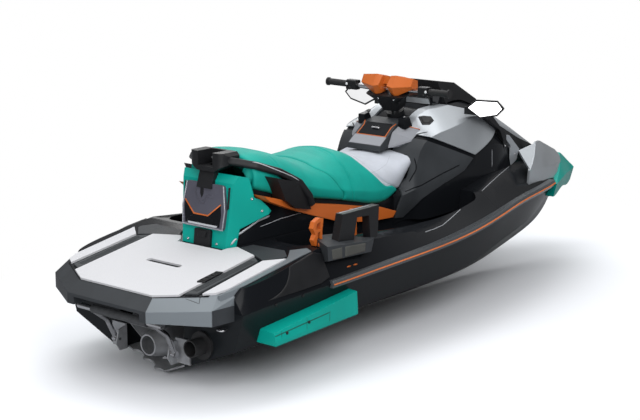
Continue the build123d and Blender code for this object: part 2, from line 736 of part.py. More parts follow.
# ---------------------------------------------------------------- seat trim and grab rail
TRIM_OUT = 30
trim_outline = [(-1090, 772), (-990, 742), (-870, 702), (-700, 674), (-550, 646), (-420, 618), (-250, 585),
                (-134, 547),
                (-160, 520), (-330, 528), (-547, 560), (-760, 630), (-900, 678), (-1050, 740)]


def pedestal_band(outline, half, inner=150):
    """Band either side of the pedestal within a side-view outline, out to half."""
    with BuildPart() as band:
        add(side_prism(outline, half))
        with BuildSketch(Plane.XY):
            with Locations((-500, 0)):
                Rectangle(3000, 2 * inner)
        extrude(amount=1300, mode=Mode.SUBTRACT)
        add(seat_pedestal.part, mode=Mode.SUBTRACT)
        for shape in seats.values():
            add(shape, mode=Mode.SUBTRACT)
        add(front_cowl.part, mode=Mode.SUBTRACT)
        add(knee_panels, mode=Mode.SUBTRACT)
        add(deck.part, mode=Mode.SUBTRACT)
    return band.part


seat_trims = pedestal_band(trim_outline, SADDLE_HALF + TRIM_OUT)

# Pylon housing: side view with a wing running forward to the pedestal, then its plan taper
HOUSING_AFT, HOUSING_FOOT = -1205, 500
HOUSING_SHOULDER = (-1167, 822)
HOUSING_HALF_AFT, HOUSING_HALF_WING = 131, 240
WING_X = -1030
with BuildPart() as pylon_housing:
    add(side_prism([(HOUSING_AFT, HOUSING_FOOT), HOUSING_SHOULDER, (-1144, 856), (-1105, 846), (-1085, 755),
                    (-1062, 745), (-1015, 690), (WING_X, 676), (-1143, 618), (-1165,
                                                                              500)], HOUSING_HALF_WING + 20))
    for side in (1, -1):
        with BuildSketch(Plane.XY.offset(400)):
            with BuildLine():
                Polyline((HOUSING_AFT - 20, side * HOUSING_HALF_AFT),
                         (HOUSING_AFT, side * HOUSING_HALF_AFT),
                         (WING_X, side * HOUSING_HALF_WING), (-1000,
                                                              side * (HOUSING_HALF_WING + 2)), (-1000,
                                                                                                side * 300),
                         (HOUSING_AFT - 20, side * 300), close=True)
            make_face()
        extrude(amount=600, mode=Mode.SUBTRACT)
    add(mast_bore, mode=Mode.SUBTRACT)
    add(seat_pedestal.part, mode=Mode.SUBTRACT)
    add(deck.part, mode=Mode.SUBTRACT)
    add(platform_mats.part, mode=Mode.SUBTRACT)
    add(deck_panels.part, mode=Mode.SUBTRACT)
    for shape in seats.values():
        add(shape, mode=Mode.SUBTRACT)
    add(seat_trims, mode=Mode.SUBTRACT)

# Plane of the housing's aft face: its local x to starboard, its local y up the face
housing_lean = Vector(HOUSING_SHOULDER[0] - HOUSING_AFT, 0, HOUSING_SHOULDER[1] - HOUSING_FOOT).normalized()
housing_face = Plane(origin=(HOUSING_AFT, 0, HOUSING_FOOT), x_dir=(0, -1, 0),
                     z_dir=(-housing_lean.Z, 0, housing_lean.X))
HOUSING_PANEL_THICK = 16
LATCH_HALF, MAST_LOCK_HALF = 50, 45
with BuildPart() as housing_panel:
    with BuildSketch(housing_face):
        with BuildLine():
            Polyline((112, 312), (132, 200), (125, 111), (-125, 111), (-132, 200), (-112, 312), close=True)
        make_face()
        fillet(vertices(), 18)
    extrude(amount=HOUSING_PANEL_THICK)

with BuildPart() as housing_latches:
    with BuildSketch(housing_face):
        with Locations((0, 66)):
            RectangleRounded(2 * LATCH_HALF, 78, 8)
    extrude(amount=HOUSING_PANEL_THICK - 2)
    add(side_prism([(-1196, 790), (-1170, 872), (-1143, 872), (-1143, 840), (-1166, 790)], MAST_LOCK_HALF))
    add(pylon_housing.part, mode=Mode.SUBTRACT)
    add(housing_panel.part, mode=Mode.SUBTRACT)
    add(platform_mats.part, mode=Mode.SUBTRACT)
    add(deck.part, mode=Mode.SUBTRACT)
for name, piece in (("pylon_housing", biggest(pylon_housing.part)), ("housing_panel", housing_panel.part),
                    ("housing_latches", housing_latches.part)):
    save(piece, name)
save(seat_trims, "seat_trims")

# Grab rail: a rounded bar around the back of the rear seat, plates down to the trim, and a deep hand bar
# aft whose
# open middle holds the tow head
RAIL_SIZE = 34
RAIL_PATH = [(-800, 288, 690), (-815, 288, 732), (-868, 276, 800), (-966, 246, 858), (-1062, 196, 894),
             (-1134, 110, 914)]
HAND_BAR_AFT, HAND_BAR_FRONT = -1184, -1079
HAND_BAR_HALF, HAND_BAR_TOP = 112, 951
HAND_BAR_CORNER = 48
HEAD_ROOM_HALF, HEAD_ROOM_FRONT, HEAD_ROOM_FLOOR = 46, MAST_X + 27, 886
RAIL_PLATE_INNER, RAIL_PLATE_OUTER = 215, 290
with BuildPart() as grab_rail:
    with BuildLine():
        port_side = RAIL_PATH
        starboard_side = [(x, -y, z) for x, y, z in reversed(RAIL_PATH)]
        FilletPolyline(*port_side, *starboard_side, radius=24)
    with BuildSketch(Plane(origin=RAIL_PATH[0], z_dir=Vector(*RAIL_PATH[1]) - Vector(*RAIL_PATH[0]))):
        RectangleRounded(RAIL_SIZE, RAIL_SIZE, 10)
    sweep()
    with BuildPart(mode=Mode.PRIVATE) as hand_bar:
        with BuildSketch(Plane.YZ.offset(HAND_BAR_AFT)):
            with BuildLine():
                Polyline((-HAND_BAR_HALF, 898), (-HAND_BAR_HALF, 936), (-HAND_BAR_HALF + 15, HAND_BAR_TOP),
                         (HAND_BAR_HALF - 15, HAND_BAR_TOP), (HAND_BAR_HALF, 936), (HAND_BAR_HALF,
                                                                                    898), (50, 866),
                         (-50, 866), close=True)
            make_face()
        extrude(amount=HAND_BAR_FRONT - HAND_BAR_AFT)
        with BuildSketch(Plane.XY.offset(850)):
            with Locations(((HAND_BAR_AFT + HAND_BAR_FRONT) / 2 + 20, 0)):
                RectangleRounded(HAND_BAR_FRONT - HAND_BAR_AFT + 40, 2 * HAND_BAR_HALF, HAND_BAR_CORNER)
        extrude(amount=120, mode=Mode.INTERSECT)
    add(hand_bar.part)
    with BuildSketch(Plane.XY.offset(HEAD_ROOM_FLOOR)):
        with Locations((HEAD_ROOM_FRONT - 100, 0)):
            Rectangle(200, 2 * HEAD_ROOM_HALF)
    extrude(amount=100, mode=Mode.SUBTRACT)
    add(upright_rod(MAST_X, 0, 800, 1000, MAST_R + GAP), mode=Mode.SUBTRACT)
    add(flank_plate([(-1030, 846), (-865, 800), (-812, 705), (-800, 668), (-905, 690), (-975, 738),
                     (-1000, 790)],
                    RAIL_PLATE_INNER, RAIL_PLATE_OUTER))
    add(seat_pedestal.part, mode=Mode.SUBTRACT)
    add(seat_trims, mode=Mode.SUBTRACT)
    for shape in seats.values():
        add(shape, mode=Mode.SUBTRACT)
    add(pylon_housing.part, mode=Mode.SUBTRACT)
    add(housing_latches.part, mode=Mode.SUBTRACT)
save(biggest(grab_rail.part), "grab_rail")

# Tow pylon: mast with a waisted tow spool that stands in the hand bar's open middle
SPOOL_NECK_R, SPOOL_CAP_R, SPOOL_CAP_Z = 10, 20, 915
with BuildPart() as tow_pylon:
    with BuildSketch(Plane.XZ):
        with BuildLine():
            Polyline((MAST_X, MAST_FOOT), (MAST_X + MAST_R, MAST_FOOT), (MAST_X + MAST_R, MAST_TOP),
                     (MAST_X + SPOOL_NECK_R, MAST_TOP + 8), (MAST_X + SPOOL_NECK_R, SPOOL_CAP_Z - 5),
                     (MAST_X + SPOOL_CAP_R, SPOOL_CAP_Z), (MAST_X + SPOOL_CAP_R, SPOOL_CAP_Z + 5),
                     (MAST_X + SPOOL_NECK_R, SPOOL_CAP_Z + 10), (MAST_X, SPOOL_CAP_Z + 10), close=True)
        make_face()
    revolve(axis=Axis((MAST_X, 0, 0), (0, 0, 1)))
save(tow_pylon.part, "tow_pylon")

# ---------------------------------------------------------------- wakeboard rack, starboard side only
RACK_BASE_INNER, RACK_BASE_OUTER = 430, 572
RACK_INNER, RACK_THICK = 490, 42
rack_outline = [(-900, 560), (-866, 690), (-611, 692), (-617, 593), (-622, 545), (-680, 545)]


def starboard_plate(points, inner, thick):
    """Upright plate to starboard within a side-view outline, from inner outwards."""
    with BuildPart() as plate:
        with BuildSketch(Plane.XZ.offset(inner)):
            with BuildLine():
                Polyline(*points, close=True)
            make_face()
        extrude(amount=thick)
    return plate.part


with BuildPart() as rack_base:
    for y, points in ((RACK_BASE_INNER, [(-955, 592), (-735, 572), (-700, 545), (-700, 470), (-955, 470)]),
                      (RACK_BASE_OUTER, [(-1020, 578), (-735, 552), (-694, 562), (-716, 500),
                                         (-1014, 512)])):
        with BuildSketch(Plane.XZ.offset(y)):
            with BuildLine():
                Polyline(*points, close=True)
            make_face()
    loft(ruled=True)
    add(deck.part, mode=Mode.SUBTRACT)
    add(hull.part, mode=Mode.SUBTRACT)
    add(rub_rails.part, mode=Mode.SUBTRACT)
    add(rub_stripes.part, mode=Mode.SUBTRACT)
    add(stern_corner.part, mode=Mode.SUBTRACT)
with BuildPart() as rack_upright:
    add(starboard_plate(rack_outline, RACK_INNER, RACK_THICK))
    add(starboard_plate([(-803, 500), (-769, 660), (-683, 655), (-668, 500)], RACK_INNER - 5,
                        RACK_THICK + 10),
        mode=Mode.SUBTRACT)
    add(rack_base.part, mode=Mode.SUBTRACT)
    add(deck.part, mode=Mode.SUBTRACT)
save(rack_base.part, "rack_base")
save(rack_upright.part, "rack_upright")

# ---------------------------------------------------------------- console, display and wind visor
with BuildPart() as console:
    add(side_prism([(-60, 810), (-60, 836), (70, 932), (150, 948), (150, 900), (60, 830)], 104))
    add(front_cowl.part, mode=Mode.SUBTRACT)
    for shape in seats.values():
        add(shape, mode=Mode.SUBTRACT)
    add(side_covers, mode=Mode.SUBTRACT)
    add(knee_panels, mode=Mode.SUBTRACT)

DISPLAY_HALF = 128
with BuildPart() as display:
    add(side_prism([(352, 970), (338, 1040), (346, 1066), (425, 1078), (445, 980)], DISPLAY_HALF))
    add(front_cowl.part, mode=Mode.SUBTRACT)
    add(side_covers, mode=Mode.SUBTRACT)

with BuildPart() as wind_visor:
    add(side_prism([(424, 990), (404, 1118), (540, 1098), (690, 1000), (690, 900), (560, 990)], 160))
    for side in (1, -1):
        with BuildSketch(Plane.YZ.offset(380)):
            with BuildLine():
                Polyline((side * 170, 960), (side * 105, 1130), (side * 300, 1130), (side * 300, 900),
                         close=True)
            make_face()
        extrude(amount=400, mode=Mode.SUBTRACT)
    add(front_cowl.part, mode=Mode.SUBTRACT)
    add(side_covers, mode=Mode.SUBTRACT)
    add(display.part, mode=Mode.SUBTRACT)
    add(cowl_shape(GAP, 4), mode=Mode.SUBTRACT)
save(console.part, "console")
save(display.part, "display")
save(wind_visor.part, "wind_visor")

# ---------------------------------------------------------------- mirrors
MIRROR_X = 415
mirror_outline = [(285, 997), (342, 1040), (477, 1046), (512, 1010), (474, 974), (371, 951)]
with BuildPart() as mirror_housings:
    with BuildSketch(Plane.YZ.offset(MIRROR_X)):
        with BuildLine():
            Polyline(*mirror_outline, close=True)
        make_face()
    with BuildSketch(Plane.YZ.offset(MIRROR_X + 70)):
        with BuildLine():
            Polyline((300, 990), (350, 1018), (450, 1020), (470, 1002), (440, 980), (372, 965), close=True)
        make_face()
    loft()
    mirror(about=Plane.XZ)

STAY_INNER, STAY_OUTER = 270, 312
STAY_START = 3              # from the mirror's front edge to the stay
with BuildPart() as mirror_stays:
    add(flank_plate([(MIRROR_X + STAY_START, 962), (MIRROR_X + STAY_START, 1000), (556, 984), (748, 818),
                     (756, 660),
                    (724, 660), (722, 790), (690, 846), (550, 938)], STAY_INNER, STAY_OUTER))
    add(cowl_shape(GAP), mode=Mode.SUBTRACT)
    add(side_covers, mode=Mode.SUBTRACT)
    add(mirror_housings.part, mode=Mode.SUBTRACT)
with BuildPart() as stay_brackets:
    add(flank_plate([(742, 816), (788, 810), (850, 757), (888, 724), (864, 668), (822, 648), (746, 645),
                     (746, 668),
                     (798, 692), (806, 748), (768, 784)], STAY_INNER + 8, STAY_OUTER - 8))
    add(mirror_stays.part, mode=Mode.SUBTRACT)
    add(cowl_shape(GAP, 1), mode=Mode.SUBTRACT)
    add(side_covers, mode=Mode.SUBTRACT)
save(stay_brackets.part, "stay_brackets")
save(mirror_housings.part, "mirror_housings")
save(mirror_stays.part, "mirror_stays")

# ---------------------------------------------------------------- steering head
BAR_R = 11
BAR_BEND_Y = 150
BAR_MID = (142, 0, 1098)
BOSS_R = 45

with BuildPart() as column_boss:
    with BuildSketch(column.offset(-60)):
        Circle(BOSS_R)
    extrude(amount=56)
    with BuildSketch(column.offset(-60)):
        Circle(COLUMN_R + COLUMN_RUNNING)
    extrude(amount=80, mode=Mode.SUBTRACT)
    add(front_cowl.part, mode=Mode.SUBTRACT)

with BuildPart() as handlebar:
    with BuildSketch(column.offset(-COLUMN_DEPTH)):
        Circle(COLUMN_R)
    extrude(amount=COLUMN_DEPTH + 123)
    with BuildLine():
        FilletPolyline((GRIP_X, GRIP_HALF, GRIP_Z), (BAR_MID[0], BAR_BEND_Y, BAR_MID[2]),
                       (BAR_MID[0], -BAR_BEND_Y, BAR_MID[2]), (GRIP_X, -GRIP_HALF, GRIP_Z), radius=60)
    with BuildSketch(Plane(origin=(GRIP_X, GRIP_HALF, GRIP_Z),
                           z_dir=(BAR_MID[0] - GRIP_X, BAR_BEND_Y - GRIP_HALF, BAR_MID[2] - GRIP_Z))):
        Circle(BAR_R)
    sweep()
save(handlebar.part, "handlebar")

grip_direction = Vector(BAR_MID[0] - GRIP_X, BAR_BEND_Y - GRIP_HALF, BAR_MID[2] - GRIP_Z)
grip_plane = Plane(origin=(GRIP_X, GRIP_HALF, GRIP_Z), z_dir=grip_direction)
GRIP_LENGTH = 125
SWITCH_LENGTH = 58
with BuildPart() as grips:
    with BuildSketch(grip_plane.offset(-2)):
        Circle(GRIP_R)
    extrude(amount=GRIP_LENGTH)
    with BuildSketch(grip_plane.offset(-6)):
        Circle(GRIP_R + 4)
    extrude(amount=10)
    mirror(about=Plane.XZ)
    add(handlebar.part, mode=Mode.SUBTRACT)

with BuildPart() as switch_housings:
    with BuildSketch(grip_plane.offset(GRIP_LENGTH)):
        RectangleRounded(46, 50, 10)
    extrude(amount=SWITCH_LENGTH)
    mirror(about=Plane.XZ)
    add(handlebar.part, mode=Mode.SUBTRACT)
    add(grips.part, mode=Mode.SUBTRACT)

# Throttle lever to starboard and reverse lever to port, ahead of the grips
with BuildPart() as levers:
    with BuildLine():
        FilletPolyline((150, 215, 1096), (196, 225, 1094), (178, 350, 1098), radius=20)
    with BuildSketch(Plane(origin=(150, 215, 1096), z_dir=(46, 10, -2))):
        Rectangle(12, 9)
    sweep()
    mirror(about=Plane.XZ)
    add(switch_housings.part, mode=Mode.SUBTRACT)

# Bar pad: two faceted lobes either side of a narrow stem, with its dark shroud below
PAD_GAP_HALF = 24
PAD_SECTIONS = [(26, (118, 1078), (84, 1118), (122, 1166), (188, 1152), (190, 1096)),
                (60, (112, 1062), (80, 1112), (118, 1170), (192, 1156), (194, 1092)),
                (158, (128, 1108), (112, 1120), (132, 1160), (170, 1148), (172, 1108))]
with BuildPart() as bar_pad:
    for y, *points in PAD_SECTIONS:
        with BuildSketch(Plane.XZ.offset(-y)):
            with BuildLine():
                Polyline(*points, close=True)
            make_face()
    loft(ruled=True)
    mirror(about=Plane.XZ)
    with BuildSketch(Plane.XZ.offset(-PAD_GAP_HALF - 4)):
        with BuildLine():
            Polyline((128, 1120), (134, 1160), (184, 1148), (186, 1110), close=True)
        make_face()
    extrude(amount=2 * PAD_GAP_HALF + 8)
    add(handlebar.part, mode=Mode.SUBTRACT)

with BuildPart() as steering_shroud:
    with BuildSketch(column.offset(16)):
        RectangleRounded(88, 104, 25)
    with BuildSketch(column.offset(70)):
        RectangleRounded(104, 150, 30)
    with BuildSketch(column.offset(108)):
        RectangleRounded(120, 250, 30)
    loft(ruled=True)
    add(handlebar.part, mode=Mode.SUBTRACT)
    add(bar_pad.part, mode=Mode.SUBTRACT)
for name, piece in (("column_boss", column_boss.part), ("grips", grips.part),
                    ("switch_housings", switch_housings.part),
                    ("levers", levers.part), ("bar_pad", bar_pad.part), ("steering_shroud",
                                                                         steering_shroud.part)):
    save(piece, name)

# ---------------------------------------------------------------- jet pump
IMPELLER_R = PUMP_BORE - 1.5
IMPELLER_FRONT, IMPELLER_BACK = -1225, -1300
HUB_R = 34
PIVOT_X = -1452
FLANGE_R = 108
OUTLET_R, OUTLET_WALL = 40, 6
NOZZLE_FRONT = -1430
NOZZLE_SLEEVE_R = 70
STATOR_VANES = 6
STEER_PIN_R = 8
BUCKET_PIN_R = 12
ARM_Y, ARM_THICK = 86, 12       # inner face and thickness of the pump's arms for the bucket
LUG_RISE, LUG_THICK = 75, 9     # height of the steering lugs above and below the pump axis
pump_axis = Axis((0, 0, PUMP_Z), (1, 0, 0))


def pump_ring(front, back, outer, inner):
    """Plain ring about the pump axis, from front to back."""
    with BuildPart() as ring:
        with BuildSketch(Plane.YZ.offset(back)):
            with Locations((0, PUMP_Z)):
                Circle(outer)
                if inner:
                    Circle(inner, mode=Mode.SUBTRACT)
        extrude(amount=front - back)
    return ring.part


def vane(front, back, inner, outer, angle, twist, thick):
    """Blade from hub to wall, leaning from the front edge to the back edge by twist."""
    with BuildPart() as blade:
        for x, turn in ((front, angle), ((front + back) / 2, angle + twist / 2), (back, angle + twist)):
            with BuildSketch(Plane.YZ.offset(x)):
                with Locations(Location((0, PUMP_Z), turn)):
                    with Locations(((inner + outer) / 2, 0)):
                        Rectangle(outer - inner, thick)
        loft(ruled=True)
    return blade.part


with BuildPart() as jet_pump:
    add(pump_ring(PUMP_FRONT, PUMP_FRONT - 12, FLANGE_R, PUMP_BORE))
    add(pump_ring(PUMP_FRONT, -1345, PUMP_R, PUMP_BORE))
    with BuildSketch(Plane.XZ):
        with BuildLine():
            Polyline((-1345, PUMP_Z + PUMP_BORE), (-1345, PUMP_Z + PUMP_R),
                     (-1400, PUMP_Z + OUTLET_R + OUTLET_WALL),
                     (PUMP_BACK, PUMP_Z + OUTLET_R + OUTLET_WALL), (PUMP_BACK, PUMP_Z + OUTLET_R),
                     (-1405, PUMP_Z + OUTLET_R), close=True)
        make_face()
    revolve(axis=pump_axis)
    with BuildSketch(Plane.XZ):
        with BuildLine():
            Polyline((-1310, PUMP_Z), (-1310, PUMP_Z + HUB_R), (-1345, PUMP_Z + HUB_R), (-1395, PUMP_Z),
                     close=True)
        make_face()
    revolve(axis=pump_axis)
    for index in range(STATOR_VANES):
        add(vane(-1312, -1345, HUB_R - 6, PUMP_BORE + 3, index * 360 / STATOR_VANES, 18, 5))
    for side in (1, -1):
        with BuildSketch(Plane.XZ.offset(-side * ARM_Y)):
            with BuildLine():
                Polyline((-1340, PUMP_Z - 22), (-1340, PUMP_Z + 22), (BUCKET_X, PUMP_Z + 20),
                         (BUCKET_X, PUMP_Z - 20),
                         close=True)
            make_face()
            with Locations((BUCKET_X, PUMP_Z)):
                Circle(20)
            with Locations((BUCKET_X, PUMP_Z)):
                Circle(BUCKET_PIN_R + 0.3, mode=Mode.SUBTRACT)
        extrude(amount=-side * ARM_THICK)
        with BuildSketch(Plane.XY.offset(PUMP_Z + side * LUG_RISE)):
            with BuildLine():
                Polyline((-1345, 24), (PIVOT_X, 16), (PIVOT_X - 16, 0), (PIVOT_X, -16), (-1345, -24),
                         close=True)
            make_face()
            with Locations((PIVOT_X, 0)):
                Circle(STEER_PIN_R + 0.3, mode=Mode.SUBTRACT)
        extrude(amount=side * LUG_THICK)

with BuildPart() as impeller:
    add(pump_ring(SHAFT_FRONT, IMPELLER_BACK - 4, SHAFT_R, 0))
    add(pump_ring(IMPELLER_FRONT, IMPELLER_BACK, HUB_R, 0))
    for index in range(3):
        add(vane(IMPELLER_FRONT, IMPELLER_BACK, HUB_R - 6, IMPELLER_R, index * 120, 80, 5))

with BuildPart() as steering_nozzle:
    with BuildSketch(Plane.XZ):
        with BuildLine():
            Polyline((NOZZLE_FRONT, PUMP_Z + NOZZLE_SLEEVE_R - 8), (NOZZLE_FRONT, PUMP_Z + NOZZLE_SLEEVE_R),
                     (-1475, PUMP_Z + NOZZLE_SLEEVE_R - 2), (NOZZLE_END, PUMP_Z + NOZZLE_R),
                     (NOZZLE_END, PUMP_Z + NOZZLE_R - 7), (-1475,
                                                           PUMP_Z + NOZZLE_SLEEVE_R - 10), close=True)
        make_face()
    revolve(axis=pump_axis)
    for side in (1, -1):
        with BuildSketch(Plane.XY.offset(PUMP_Z + side * (NOZZLE_SLEEVE_R - 4))):
            with Locations((PIVOT_X, 0)):
                Circle(STEER_PIN_R)
        extrude(amount=side * (LUG_RISE + LUG_THICK - NOZZLE_SLEEVE_R + 4))

# Reverse bucket: a cylindrical shell with side plates, raised above the nozzle at rest
BUCKET_LOW, BUCKET_HIGH = 38, 118       # degrees above the astern direction
with BuildPart() as reverse_bucket:
    with BuildSketch(Plane.XZ):
        with BuildLine():
            sweep_deg = BUCKET_HIGH - BUCKET_LOW
            outer = CenterArc((BUCKET_X, PUMP_Z), BUCKET_R + BUCKET_WALL, 180 - BUCKET_HIGH, sweep_deg)
            inner = CenterArc((BUCKET_X, PUMP_Z), BUCKET_R, 180 - BUCKET_HIGH, sweep_deg)
            Line(outer @ 0, inner @ 0)
            Line(outer @ 1, inner @ 1)
        make_face()
    extrude(amount=BUCKET_HALF, both=True)
    for side in (1, -1):
        with BuildSketch(Plane.XZ.offset(-side * BUCKET_HALF)):
            with BuildLine():
                arm = BUCKET_R + 4
                Polyline((BUCKET_X - 16, PUMP_Z - 14), (BUCKET_X + 16, PUMP_Z - 14),
                         (BUCKET_X - arm * cos(radians(BUCKET_HIGH - 4)),
                          PUMP_Z + arm * sin(radians(BUCKET_HIGH - 4))),
                         (BUCKET_X - arm * cos(radians(BUCKET_LOW + 4)),
                          PUMP_Z + arm * sin(radians(BUCKET_LOW + 4))),
                         close=True)
            make_face()
        extrude(amount=-side * BUCKET_WALL)
        with BuildSketch(Plane.XZ.offset(-side * (ARM_Y + 2))):
            with Locations((BUCKET_X, PUMP_Z)):
                Circle(BUCKET_PIN_R)
        extrude(amount=-side * (BUCKET_HALF - ARM_Y))

# Ride plate: a shallow vee closing the tunnel under the pump, its aft edge scalloped
DEADRISE = 22.3
PLATE_THICK = 8
with BuildPart() as ride_plate:
    with BuildSketch(Plane.YZ.offset(-1486)):
        with BuildLine():
            edge = TUNNEL_HALF
            lift = edge * tan(radians(DEADRISE))
            Polyline((0, 0), (edge, lift), (edge, lift + PLATE_THICK), (0, PLATE_THICK),
                     (-edge, lift + PLATE_THICK),
                     (-edge, lift), close=True)
        make_face()
    extrude(amount=1486 + PUMP_FRONT)
    with BuildSketch(Plane.XY):
        with Locations((-1486, 0), (-1486, 70), (-1486, -70), (-1486, 140), (-1486, -140)):
            Ellipse(26, 30)
    extrude(amount=200, mode=Mode.SUBTRACT)
    with BuildSketch(Plane.YZ.offset(PUMP_FRONT - 12)):
        with Locations((0, 40)):
            Rectangle(60, 60)
        with Locations((0, PUMP_Z)):
            Circle(FLANGE_R, mode=Mode.SUBTRACT)
        with Locations((0, 0)):
            Rectangle(200, 2 * PLATE_THICK - 4, mode=Mode.SUBTRACT)
    extrude(amount=12)
    add(hull.part, mode=Mode.SUBTRACT)

GRATE_BAR, GRATE_DEPTH = 8, 14
GRATE_SLOTS = 5
with BuildPart() as intake_grate:
    with BuildSketch(Plane.YZ.offset(INTAKE_AFT)):
        with BuildLine():
            lift = INTAKE_HALF * tan(radians(DEADRISE))
            Polyline((0, 0), (INTAKE_HALF, lift), (INTAKE_HALF, lift + GRATE_DEPTH), (0, GRATE_DEPTH),
                     (-INTAKE_HALF, lift + GRATE_DEPTH), (-INTAKE_HALF, lift), close=True)
        make_face()
    extrude(amount=INTAKE_FRONT - INTAKE_AFT)
    slot_pitch = 2 * INTAKE_HALF / GRATE_SLOTS
    with BuildSketch(Plane.XY.offset(-5)):
        with GridLocations(0, slot_pitch, 1, GRATE_SLOTS):
            with Locations(((INTAKE_AFT + INTAKE_FRONT) / 2, 0)):
                SlotOverall(INTAKE_FRONT - INTAKE_AFT - 44, slot_pitch - GRATE_BAR)
    extrude(amount=100, mode=Mode.SUBTRACT)

# ---------------------------------------------------------------- boarding step
PIN_R = 7
BRACKET_THICK = 8
BRACKET_Y = STEP_Y - STEP_TUBE_R - GAP - 1 - BRACKET_THICK      # inner face of the bracket plates
with BuildPart() as step_brackets:
    for side in (1, -1):
        with BuildSketch(Plane.XZ.offset(-side * BRACKET_Y)):
            with BuildLine():
                Polyline((TRANSOM_X, 96), (TRANSOM_X, 205), (STEP_X - 6, 190), (STEP_X - 22, 130),
                         (STEP_X, 96),
                         close=True)
            make_face()
            with Locations((STEP_X, STEP_Z)):
                Circle(PIN_R, mode=Mode.SUBTRACT)
        extrude(amount=-side * BRACKET_THICK)
        with BuildSketch(Plane.YZ.offset(TRANSOM_X)):
            with Locations((side * (BRACKET_Y + 42), 156)):
                Rectangle(84, 110)
        extrude(amount=-10)
    add(hull.part, mode=Mode.SUBTRACT)

knee = (STEP_X - 45, STEP_Y + 4, STEP_Z + 95)
with BuildPart() as boarding_step:
    with BuildSketch(Plane.XZ.offset(-BRACKET_Y)):
        with Locations((STEP_X, STEP_Z)):
            Circle(PIN_R - 0.3)
    extrude(amount=BRACKET_Y - STEP_Y)
    with BuildLine():
        FilletPolyline((STEP_X, STEP_Y, STEP_Z), knee, (STEP_BAR_X, STEP_Y + 8, STEP_BAR_Z), radius=60)
    with BuildSketch(Plane(origin=(STEP_X, STEP_Y, STEP_Z),
                           z_dir=Vector(*knee) - Vector(STEP_X, STEP_Y, STEP_Z))):
        Circle(STEP_TUBE_R)
    sweep()
    with BuildSketch(Plane.XZ.offset(-STEP_Y + STEP_TUBE_R)):
        with Locations((STEP_X, STEP_Z)):
            Circle(16)
    extrude(amount=-2 * STEP_TUBE_R)
    mirror(about=Plane.XZ)
    with BuildSketch(Plane.XZ):
        with Locations((STEP_BAR_X, STEP_BAR_Z)):
            Circle(STEP_BAR_R)
    extrude(amount=STEP_BAR_HALF, both=True)

with BuildPart() as step_sleeve:
    with BuildSketch(Plane.XZ):
        with Locations((STEP_BAR_X, STEP_BAR_Z)):
            Circle(SLEEVE_R)
            Circle(STEP_BAR_R, mode=Mode.SUBTRACT)
    extrude(amount=STEP_Y - STEP_TUBE_R - 2, both=True)

# ---------------------------------------------------------------- exhaust, eyes and small fittings
EXHAUST_Y, EXHAUST_Z = -314, 205
EXHAUST_R = 38
with BuildPart() as exhaust_outlet:
    with BuildSketch(Plane.YZ.offset(TRANSOM_X)):
        with Locations((EXHAUST_Y, EXHAUST_Z)):
            Circle(62)
    extrude(amount=-12)
    with BuildSketch(Plane.YZ.offset(TRANSOM_X - 12)):
        with Locations((EXHAUST_Y, EXHAUST_Z)):
            Circle(EXHAUST_R)
    extrude(amount=-66)
    with BuildSketch(Plane.YZ.offset(TRANSOM_X - 4)):
        with Locations((EXHAUST_Y, EXHAUST_Z)):
            Circle(EXHAUST_R - 5)
    extrude(amount=-90, mode=Mode.SUBTRACT)

EYE_WIRE = 5
EYE_HALF = 18
STERN_EYE_Y, STERN_EYE_Z = 440, 300
with BuildPart() as stern_eyes:
    with BuildLine():
        FilletPolyline((TRANSOM_X, STERN_EYE_Y - EYE_HALF, STERN_EYE_Z),
                       (TRANSOM_X - 32, STERN_EYE_Y - EYE_HALF, STERN_EYE_Z),
                       (TRANSOM_X - 32, STERN_EYE_Y + EYE_HALF, STERN_EYE_Z),
                       (TRANSOM_X, STERN_EYE_Y + EYE_HALF, STERN_EYE_Z), radius=EYE_HALF - 3)
    with BuildSketch(Plane(origin=(TRANSOM_X, STERN_EYE_Y - EYE_HALF, STERN_EYE_Z), z_dir=(-1, 0, 0))):
        Circle(EYE_WIRE)
    sweep()
    mirror(about=Plane.XZ)
for name, piece in (("reverse_bucket", reverse_bucket), ("ride_plate", ride_plate),
                    ("intake_grate", intake_grate),
                    ("step_brackets", step_brackets), ("boarding_step", boarding_step), ("step_sleeve",
                                                                                         step_sleeve),
                    ("exhaust_outlet", exhaust_outlet), ("stern_eyes", stern_eyes), ("jet_pump", jet_pump),
                    ("impeller", impeller), ("steering_nozzle", steering_nozzle)):
    save(piece.part, name)

# ---------------------------------------------------------------- mats, fenders, lenses and small fittings
with BuildPart() as footwell_mats:
    with BuildSketch(Plane.XY.offset(WELL_FLOOR)):
        with Locations(((WELL_AFT + WELL_FRONT) / 2 - 10, (WELL_INNER + WELL_OUTER) / 2 + 6)):
            RectangleRounded(WELL_FRONT - WELL_AFT - 160, WELL_OUTER - WELL_INNER - 60, 40)
    extrude(amount=MAT_THICK)
    mirror(about=Plane.XZ)
    add(seat_pedestal.part, mode=Mode.SUBTRACT)
    add(front_cowl.part, mode=Mode.SUBTRACT)

CLEAT_INNER, CLEAT_THICK = 452, 24
with BuildPart() as rack_cleats:
    for x in (-985, -745):
        add(starboard_plate([(x - 4, 560), (x - 16, 588), (x - 2, 610), (x - 20, 640), (x - 8, 668),
                             (x + 26, 682),
                             (x + 52, 676), (x + 44, 620), (x + 44, 560)], CLEAT_INNER, CLEAT_THICK))
        for hole in ([(x + 2, 632), (x + 8, 656), (x + 32, 664), (x + 34, 632)],
                     [(x + 12, 590), (x + 14, 616), (x + 32, 620), (x + 32, 580)]):
            add(starboard_plate(hole, CLEAT_INNER - 5, CLEAT_THICK + 10), mode=Mode.SUBTRACT)
    add(rack_base.part, mode=Mode.SUBTRACT)
    add(rack_upright.part, mode=Mode.SUBTRACT)
    add(deck.part, mode=Mode.SUBTRACT)

